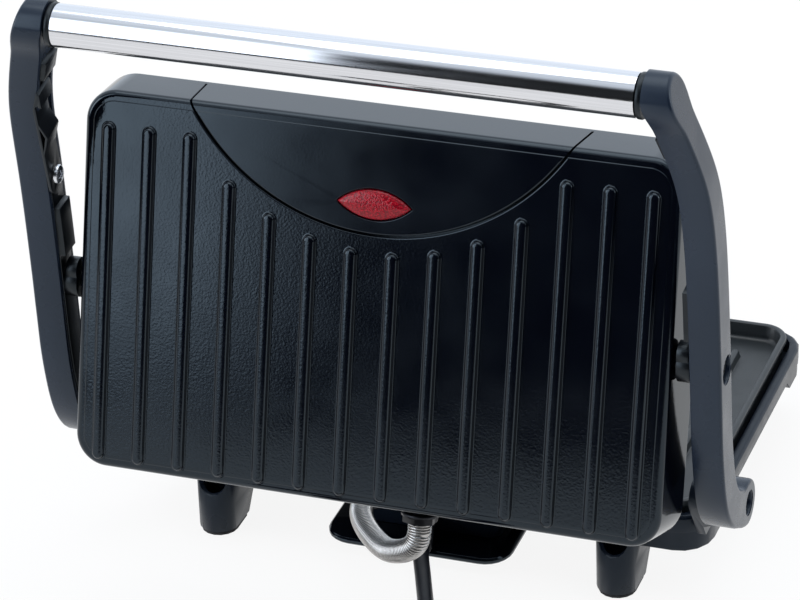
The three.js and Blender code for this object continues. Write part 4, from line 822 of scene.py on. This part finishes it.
INNER_WALL_STOP, WALL_MIDDLE = 3, 6
CHANNEL = [(ARM_IN - 14, 2.4), (ARM_OUT - 2.6, 2.6)]  # x, inset
CHANNEL_SPAN, CHANNEL_RINGS = (0.17, 0.93), 60
PIVOT_HOLE, LID_PIVOT_HOLE = (5.0, 6.2), (5.8, 3.1)  # radius, depth
HOLE_EDGE = [(0, -0.5), (0.15, -0.2), (0.5, 0.02), (0.5, 4)]  # growth, distance out
LID_PIVOT_POST_R, LATCH_POST_R = 5.5, 4
POST_SPAN = (ARM_IN + 2.3, ARM_OUT - 2.2)


def arm_line():
    """Evenly spaced places on the arm's centre curve, with their tangents and distances."""
    knots = np.array(PIVOT) + (np.array(BAR) - PIVOT) * np.array(ARM_SHARES)
    dense = []
    for i in range(len(knots) - 1):
        p0, p1, p2, p3 = knots[max(i - 1, 0)], knots[i], knots[i + 1], knots[min(i + 2, len(knots) - 1)]
        v0, v1 = (p2 - p0) / 2, (p3 - p1) / 2
        for t in np.linspace(0, 1, ARM_KNOT_STEPS, endpoint=False):
            cubic = (2 * p1 - 2 * p2 + v0 + v1) * t ** 3
            dense.append(cubic + (-3 * p1 + 3 * p2 - 2 * v0 - v1) * t * t + v0 * t + p1)
    dense.append(knots[-1])
    dense = np.array(dense)
    along = np.concatenate([[0], np.cumsum(np.linalg.norm(np.diff(dense, axis=0), axis=1))])
    at = np.linspace(0, along[-1], ARM_POINTS)
    line = np.stack([np.interp(at, along, dense[:, k]) for k in (0, 1)], axis=1)
    way = np.gradient(line, axis=0)
    return line, way / np.linalg.norm(way, axis=1)[:, None], at


def arm_tip(centre, normal, way, half):
    """Round end of the arm's outline, as its points on the one side and on the other."""
    turns = [math.radians(a) for a in np.linspace(90, 0, ARM_CAP_STEPS + 1)[1:-1]]
    back = [centre + normal * half * math.sin(a) + way * half * math.cos(a) for a in turns]
    front = [centre - normal * half * math.sin(a) + way * half * math.cos(a) for a in turns]
    return back, front


def arm_sides(inset, count=ARM_RINGS, span=(0, 1)):
    """The two long edges of the arm seen from the side, with rounded ends when the span is whole."""
    line, way, at = arm_line()
    index = np.arange(ARM_POINTS)
    keep = np.linspace(span[0], span[1], count) * (ARM_POINTS - 1)
    line, way = (np.stack([np.interp(keep, index, a[:, k]) for k in (0, 1)], axis=1) for a in (line, way))
    at = np.interp(keep, index, at)
    half = np.full(count, ARM_HALF)
    if span == (0, 1):
        for end, radius in ((0, ARM_FOOT_R), (at[-1], ARM_HEAD_R)):
            s = np.clip(1 - np.abs(at - end) / ARM_SWELL, 0, 1)
            half = half + (radius - ARM_HALF) * s * s * (3 - 2 * s)
    half = half - inset
    normal = np.column_stack([way[:, 1], -way[:, 0]])
    back, front = line + normal * half[:, None], line - normal * half[:, None]
    if span == (0, 1):
        back_foot, front_foot = arm_tip(line[0], normal[0], -way[0], half[0])
        back_head, front_head = arm_tip(line[-1], normal[-1], way[-1], half[-1])
        back = np.array([*back_foot[::-1], *back, *back_head])
        front = np.array([*front_foot[::-1], *front, *front_head])
    return back, front


def lean(z):
    """How far the arm's walls have leant inwards at a height, with a soft bend."""
    d = np.asarray(z, float) - BEND_Z
    at_bar = BEND_SOFT * BEND_SOFT * LEAN / 4 / (BAR[1] - BEND_Z)
    return 0.5 * (d + np.sqrt(d * d + BEND_SOFT * BEND_SOFT)) * LEAN - at_bar


def ladder_body(levels, **kind):
    """A closed body from X levels; each ring is the arm's outline drawn in by the level's inset."""
    rings = []
    for x, inset in levels:
        back, front = arm_sides(inset, **kind)
        ring = np.concatenate([back, front[::-1]])
        xs = x - lean(ring[:, 1])
        if x < ARM_OUT - WALL_MIDDLE:
            xs = np.maximum(xs, BAR_END + INNER_WALL_STOP)
        rings.append(np.column_stack([xs, ring]))
    points, faces = loft(rings, caps=False)
    count = len(rings[0])
    for base, flip in ((0, False), ((len(rings) - 1) * count, True)):
        for i in range(count // 2 - 1):
            quad = (base + i, base + i + 1, base + count - 2 - i, base + count - 1 - i)
            faces.append(quad if flip else tuple(reversed(quad)))
    return points, faces


def arm_edge():
    levels = [(ARM_IN + out, inset) for out, inset in ARM_INNER_EDGE]
    for x, y in arc(ARM_ROUND, 0, 90, ARM_ROUND_STEPS):
        levels.append((ARM_OUT - ARM_ROUND + y, ARM_ROUND - x))
    return levels + [(ARM_OUT, ARM_ROUND + inset) for inset in ARM_OUTER_FACE]


def arm(side):
    """U-shaped arm with a screw hole at each pivot and posts for lid and latch."""
    body = thing("arm_shell_" + side, *ladder_body(arm_edge()))
    boolean(body, "DIFFERENCE", *ladder_body(CHANNEL, count=CHANNEL_RINGS, span=CHANNEL_SPAN))
    for place, (radius, depth) in ((PIVOT, PIVOT_HOLE), (LID_PIVOT, LID_PIVOT_HOLE)):
        hole = [(radius, -depth)] + [(radius + grow, out) for grow, out in HOLE_EDGE]
        boolean(body, "DIFFERENCE", *lathe(hole, (ARM_OUT, *place), X_AXIS))
    posts = Parts()
    for place, radius in ((LID_PIVOT, LID_PIVOT_POST_R), (LATCH, LATCH_POST_R)):
        posts.add(*rod(radius, (POST_SPAN[0], *place), (POST_SPAN[1], *place), steps=28))
    joined(body, posts.points, posts.faces)
    if side == "right":
        body.data.transform(Matrix.Scale(-1, 4, X_AXIS))
        body.data.flip_normals()
    dress(body, "casing", "handle", replaces=("arm_" + side,), angle=30)


# Bar and collars; profiles are radius and distance from the bar's end

BAR_EDGE = [(7.0, 3), (7.0, 0), (8.45, 0), (8.7, 0.1), (8.75, 0.4)]
COLLAR_GAP = 0.3
COLLAR = [(6.7, -2.3), (6.7, 0), (8.5, 0), (8.95, 0.35), (9.05, 0.9), (9.05, 1.9), (8.8, 2.4), (3.3, 2.4)]


def handle_bar():
    profile = [(radius, -BAR_END + inset) for radius, inset in BAR_EDGE]
    profile += [(radius, -along) for radius, along in reversed(profile)]
    made = thing("bar_tube", *lathe(profile, (0, *BAR), X_AXIS, steps=128))
    dress(made, "bar", "handle", replaces=("handle_bar",))


def collar(side, way):
    start = BAR_END + COLLAR_GAP
    profile = [(radius, start + along) for radius, along in COLLAR]
    made = thing("collar_ring_" + side, *lathe(profile, (0, *BAR), (way, 0, 0), steps=72))
    dress(made, "black_plastic", "handle", replaces=("bar_collar_" + side,))


# Screws: head radius and height, then radius and length of the shank

BASE_SCREW, PIVOT_SCREW, LATCH_BOLT = (4.6, 2.6, 3, 17), (5.3, 1.2, 2.6, 24), (4, 1.9, 2, 9)
BASE_SCREW_X, PIVOT_SCREW_X, LATCH_BOLT_X = ARM_OUT - 5.7, ARM_OUT - 2.6, 130.9
DOME_SHARES = [(1, 0), (1, 0.35), (0.93, 0.7), (0.75, 0.92), (0.45, 1)]
SCREW_TIP = 0.05
CROSS_LONG_SHARE, CROSS_WIDE_SHARE, CROSS_TURNS = 0.62, 0.13, (20, 110)
CROSS_SHARES = [(0.45, 0.25), (1.0, 1.2)]  # width of the recess at a share of the head's height


def cross_screw(name, sizes, origin, axis, body, replaced, look):
    """A domed screw with a cross recess, its head's underside at the origin."""
    radius, high, shank_radius, shank_length = sizes
    profile = [(shank_radius, -shank_length), (shank_radius, 0)]
    profile += [(radius * out, high * up) for out, up in DOME_SHARES] + [(SCREW_TIP, high)]
    made = thing(name, *lathe(profile, axis=Z_AXIS))
    a, b = radius * CROSS_LONG_SHARE, radius * CROSS_WIDE_SHARE
    for degrees in CROSS_TURNS:
        cos, sin = math.cos(math.radians(degrees)), math.sin(math.radians(degrees))
        rings = []
        for wide, up in CROSS_SHARES:
            rings.append([(x * wide * cos - y * wide * sin, x * wide * sin + y * wide * cos, high * up)
                          for x, y in ((a, -b), (a, b), (-a, b), (-a, -b))])
        boolean(made, "DIFFERENCE", *loft(rings))
    made.data.transform(in_metres(Matrix.Translation(origin) @ turn_to(axis)))
    dress(made, look, body, (replaced,))


for side in ("left", "right"):
    arm(side)
handle_bar()
for side, way in (("left", 1), ("right", -1)):
    collar(side, way)
    cross_screw("base_screw_" + side, BASE_SCREW, (way * BASE_SCREW_X, *PIVOT), (way, 0, 0), "base",
                "hinge_screw_" + side, "black_plastic")
    cross_screw("pivot_screw_" + side, PIVOT_SCREW, (way * PIVOT_SCREW_X, *LID_PIVOT), (way, 0, 0), "handle",
                "lid_pivot_screw_" + side, "black_plastic")
cross_screw("latch_bolt", LATCH_BOLT, (LATCH_BOLT_X, *LATCH), (-1, 0, 0), "handle",
            "latch_screw", "screw")

# Conduit: a wound hose in two halves

BASE_SEAT, BASE_SEAT_END = (21, 45.3, 26), (21, 55, 26)
LID_SEAT_X, LID_SEAT_S, LID_SEAT_DEPTH = -21.5, -78.49, 6.4
LID_SEAT_IN, LID_SEAT_OUT = 0.3, 10
HOSE_LOOP, HOSE_SLOPE = (-2.9, 11.5, -8.2), (-7.6, 9, 5.6)  # how far its middle bulges, its course there
HOSE_BASE_PULL, HOSE_LID_PULL = 12, 8
HOSE_END_POINTS, HOSE_CURVE_POINTS, HOSE_SMOOTHINGS = 20, 120, 300
HOSE_R, HOSE_PITCH, HOSE_GROOVE, HOSE_SIDES = 5.0, 1.15, 0.75, 28
HOSE_TURN_SHARES = [(0.0, 1), (0.16, 0.25), (0.38, 0), (0.62, 0), (0.84, 0.25)]  # of the pitch, of the groove
HOSE_CUT = 99  # point of the line at which the halves meet
LOWER_TURN = ((16.9, 55.5, 25.8), (11.0, 71.6, 36.9))
UPPER_TURN = ((10.7, 76.7, 47.2), (-10.6, 72.9, 53.3))


def conduit_line():
    """Line of the conduit: straight out of each seat, and a smoothed loop between."""
    n = HOSE_END_POINTS
    wall, wall_end = Vector(BASE_SEAT), Vector(BASE_SEAT_END)
    top = LID @ Vector((LID_SEAT_X, LID_SEAT_S - LID_SEAT_IN, LID_SEAT_DEPTH))
    top_end = LID @ Vector((LID_SEAT_X, LID_SEAT_S - LID_SEAT_OUT, LID_SEAT_DEPTH))
    away = (top_end - top).normalized()
    slope = Vector(HOSE_SLOPE)
    middle = (wall_end + top_end) / 2 + Vector(HOSE_LOOP)
    cubics = ((wall_end, wall_end + Vector((0, HOSE_BASE_PULL, 0)), middle - slope, middle),
              (middle, middle + slope, top_end + away * HOSE_LID_PULL, top_end))
    out = [wall.lerp(wall_end, k / n) for k in range(n)]
    for a, b, c, d in cubics:
        out += [a * (1 - t) ** 3 + b * 3 * t * (1 - t) ** 2 + c * 3 * t * t * (1 - t) + d * t ** 3
                for t in np.linspace(0, 1, HOSE_CURVE_POINTS, endpoint=False)]
    out += [top_end.lerp(top, k / n) for k in range(n + 1)]
    line = np.array([tuple(p) for p in out])
    for _ in range(HOSE_SMOOTHINGS):
        line[n:-n] = (line[n - 1:-n - 1] + 2 * line[n:-n] + line[n + 1:-n + 1]) / 4
    return line


def wound_hose(line):
    """Rings of a wound hose: each turn is a rounded crown between two narrow grooves."""
    along = np.concatenate([[0], np.cumsum(np.linalg.norm(np.diff(line, axis=0), axis=1))])
    count = max(1, round(along[-1] / HOSE_PITCH))
    at = [(k + share) / count * along[-1] for k in range(count) for share, _ in HOSE_TURN_SHARES]
    drop = [HOSE_GROOVE * share for _ in range(count) for _, share in HOSE_TURN_SHARES]
    at, drop = np.array(at + [along[-1]]), np.array(drop + [HOSE_GROOVE])
    centre = np.stack([np.interp(at, along, line[:, k]) for k in range(3)], axis=1)
    way = np.gradient(centre, axis=0)
    way /= np.linalg.norm(way, axis=1)[:, None]
    a = np.linspace(0, WHOLE_TURN, HOSE_SIDES, endpoint=False)[:, None]
    side = np.array([0, 0, 1.0])
    rings = []
    for c, w, d in zip(centre, way, drop):
        side = side - w * (side @ w)
        side /= np.linalg.norm(side)
        other = np.cross(w, side)
        rings.append(c + (HOSE_R - d) * (np.cos(a) * side + np.sin(a) * other))
    return loft(rings)


hose_line = conduit_line()
lower_hose = thing("conduit_lower", *wound_hose(hose_line[:HOSE_CUT + 1]))
upper_hose = thing("conduit_upper", *wound_hose(hose_line[HOSE_CUT:]))
for made in (lower_hose, upper_hose):
    dress(made, "hose", None, replaces=("wire_conduit",), angle=80)
for made, first, second, (start, end) in (
    (lower_hose, "base", "handle", LOWER_TURN),
    (upper_hose, "handle", "lid", UPPER_TURN),
):
    tuple(np.array(start) * MM)
    tuple(np.array(end) * MM)
    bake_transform(made)

# Nodes that are carried over, by look; some get softer edges

CARRIED = {
    "base_plastic": ("base_housing",),
    "lid_gloss": ("wiring_block_cover",),
    "black_plastic": (
        "terminal_block", "lower_thermostat", "upper_thermostat", "arm_liner_left", "arm_liner_right",
        "latch_lever", "lamp_holder", "pivot_bush_left", "pivot_bush_right", "cord_tie",
    ),
    "rubber": ("rear_foot_pad_left", "rear_foot_pad_right", "front_foot_pad_left", "front_foot_pad_right"),
    "steel": (
        "lower_heating_element", "lower_heat_shield", "upper_heating_element", "upper_heat_shield",
        "handle_rod",
    ),
    "lamp": ("indicator_lamp",),
    "dark_steel": ("conduit_fitting_lid", "conduit_fitting_base"),
}
SOFTENED = {
    "base_housing": 0.7, "wiring_block_cover": 0.4, "arm_liner_left": 0.25, "arm_liner_right": 0.25,
    "latch_lever": 0.25, "pivot_bush_left": 0.4, "pivot_bush_right": 0.4,
}
WELD_METRES = 0.00001
SOFTEN_DEGREES = 38


def soften(made, width):
    bevel = made.modifiers.new("edges", "BEVEL")
    bevel.width = width * MM
    bevel.segments = 2
    bevel.limit_method = "ANGLE"
    bevel.angle_limit = math.radians(SOFTEN_DEGREES)
    bevel.harden_normals = True
    bevel.miter_outer = "MITER_ARC"


for look, names in CARRIED.items():
    for name in names:
        made = nodes[name]
        made.data.materials.clear()
        made.data.materials.append(LOOKS[look])
        weld = made.modifiers.new("weld", "WELD")
        weld.merge_threshold = WELD_METRES
        if name in SOFTENED:
            soften(made, SOFTENED[name])
        shade(made.data)

# Stage and light, in metres

FLOOR_RADIUS, FLOOR_SIDES = 1.65, 96
FLOOR_COLOURS = (0.86, 0.86, 0.86), (0.89, 0.89, 0.89)
FLOOR_WHITE_SHARE = 0.9  # the rest of what is seen is the lit floor, with the shadow
CAMERA_RAY = ("Is Camera Ray",)
BOUNCED_RAYS = ("Is Glossy Ray", "Is Transmission Ray")

STUDIO = (0.82, 0.9, 1.0, 1)
BACK_GLOW, ROOF_GLOW, SIDE_GLOW, LEAST_GLOW = 1.25, 0.95, 2.9, 0.02
BACK_Y, ROOF_Z = (0.35, -0.15), (0.6, 0.88)  # direction at which a glow starts, and where it is whole
SIDE_X, SIDE_Y, SIDE_TOP_Z, SIDE_FOOT_Z = (0.325, 0.355), (0.2, 0.5), (0.9, 0.7), (-0.05, -0.03)
HORIZON_Z = (-0.17, -0.2)

GRILL_MIDDLE = (0, 0, 0.12)
LIGHTS = (
    ("top_light", (0.1, -0.2, 1.9), (0, 0, 0.1), (1.6, 1.2), 10, (1, 1, 1)),
    ("left_light", (1.7, 0.9, 0.7), GRILL_MIDDLE, (1.0, 0.9), 6, (0.97, 0.98, 1)),
    ("right_light", (-1.8, -0.35, 0.7), GRILL_MIDDLE, (0.8, 0.9), 6, (1, 1, 1)),
)


def any_ray(tree, kinds):
    """1 for a ray of one of these kinds, so that metal and glass can show what the camera sees."""
    path = add_node(tree, "ShaderNodeLightPath")
    return combine(tree, "MAXIMUM", *(path.outputs[kind] for kind in kinds))


def blended(tree, share, first, second, output):
    """Two shaders mixed by a share into an output node."""
    mix = add_node(tree, "ShaderNodeMixShader")
    tree.links.new(share, mix.inputs["Fac"])
    tree.links.new(first, mix.inputs[1])
    tree.links.new(second, mix.inputs[2])
    tree.links.new(mix.outputs["Shader"], tree.nodes[output].inputs["Surface"])


def floor():
    """A pale floor, mostly white where it is seen, that keeps the object's shadow."""
    mesh = bpy.data.meshes.new("floor")
    turns = np.linspace(0, WHOLE_TURN, FLOOR_SIDES, endpoint=False)
    ring = [(FLOOR_RADIUS * math.cos(a), FLOOR_RADIUS * math.sin(a), 0) for a in turns]
    mesh.from_pydata(ring, [], [tuple(range(FLOOR_SIDES))])
    finish = Finish("pale_floor", roughness=0.9, Specular_IOR_Level=0.1)
    tree = finish.tree
    grain = finish.node("ShaderNodeTexNoise", Scale=60, Detail=3)
    finish.colours(grain.outputs["Fac"], *FLOOR_COLOURS, start=0, end=1)
    glow = add_node(tree, "ShaderNodeEmission", Color=WHITE, Strength=1.0)
    seen = combine(tree, "MULTIPLY", any_ray(tree, CAMERA_RAY + BOUNCED_RAYS), FLOOR_WHITE_SHARE)
    blended(tree, seen, finish.shader.outputs["BSDF"], glow.outputs["Emission"], "Material Output")
    mesh.materials.append(finish.material)
    made = added("floor", mesh)


def world():
    """White for the camera, and below the horizon for light that bounces or passes; a studio for all else.

    The studio has a bright backdrop and roof, one narrow lamp at the side and dark ends.
    """
    made = bpy.data.worlds.new("studio")
    bpy.context.scene.world = made
    made.use_nodes = True
    tree = made.node_tree
    plain = tree.nodes["Background"]
    plain.inputs["Color"].default_value = WHITE
    plain.inputs["Strength"].default_value = 1.0
    coordinates = add_node(tree, "ShaderNodeTexCoord")
    split = add_node(tree, "ShaderNodeSeparateXYZ")
    tree.links.new(coordinates.outputs["Generated"], split.inputs["Vector"])
    x, y, z = (split.outputs[k] for k in "XYZ")

    def band(source, span):
        return map_range(tree, source, *span, interpolation_type="SMOOTHSTEP")

    back = combine(tree, "MULTIPLY", band(y, BACK_Y), BACK_GLOW)
    roof = combine(tree, "MULTIPLY", band(z, ROOF_Z), ROOF_GLOW)
    side = combine(tree, "MULTIPLY", band(x, SIDE_X), band(y, SIDE_Y), band(z, SIDE_TOP_Z), SIDE_GLOW)
    side = combine(tree, "MULTIPLY", side, band(z, SIDE_FOOT_Z))
    total = combine(tree, "ADD", combine(tree, "MAXIMUM", back, roof, side), LEAST_GLOW)
    studio = add_node(tree, "ShaderNodeBackground", Color=STUDIO)
    tree.links.new(total, studio.inputs["Strength"])
    bounced = combine(tree, "MULTIPLY", any_ray(tree, BOUNCED_RAYS), band(z, HORIZON_Z))
    seen = combine(tree, "MAXIMUM", any_ray(tree, CAMERA_RAY), bounced)
    blended(tree, seen, studio.outputs["Background"], plain.outputs["Background"], "World Output")


def softbox(name, place, aim, size, watts, colour):
    data = bpy.data.lights.new(name, "AREA")
    data.shape = "RECTANGLE"
    data.size, data.size_y = size
    data.energy = watts
    data.color = colour
    made = added(name, data)
    made.location = place
    made.rotation_mode = "QUATERNION"
    made.rotation_quaternion = (Vector(aim) - Vector(place)).to_track_quat("-Z", "Y")


floor()
world()
for light in LIGHTS:
    softbox(*light)

bpy.context.scene.view_settings.view_transform = "Standard"
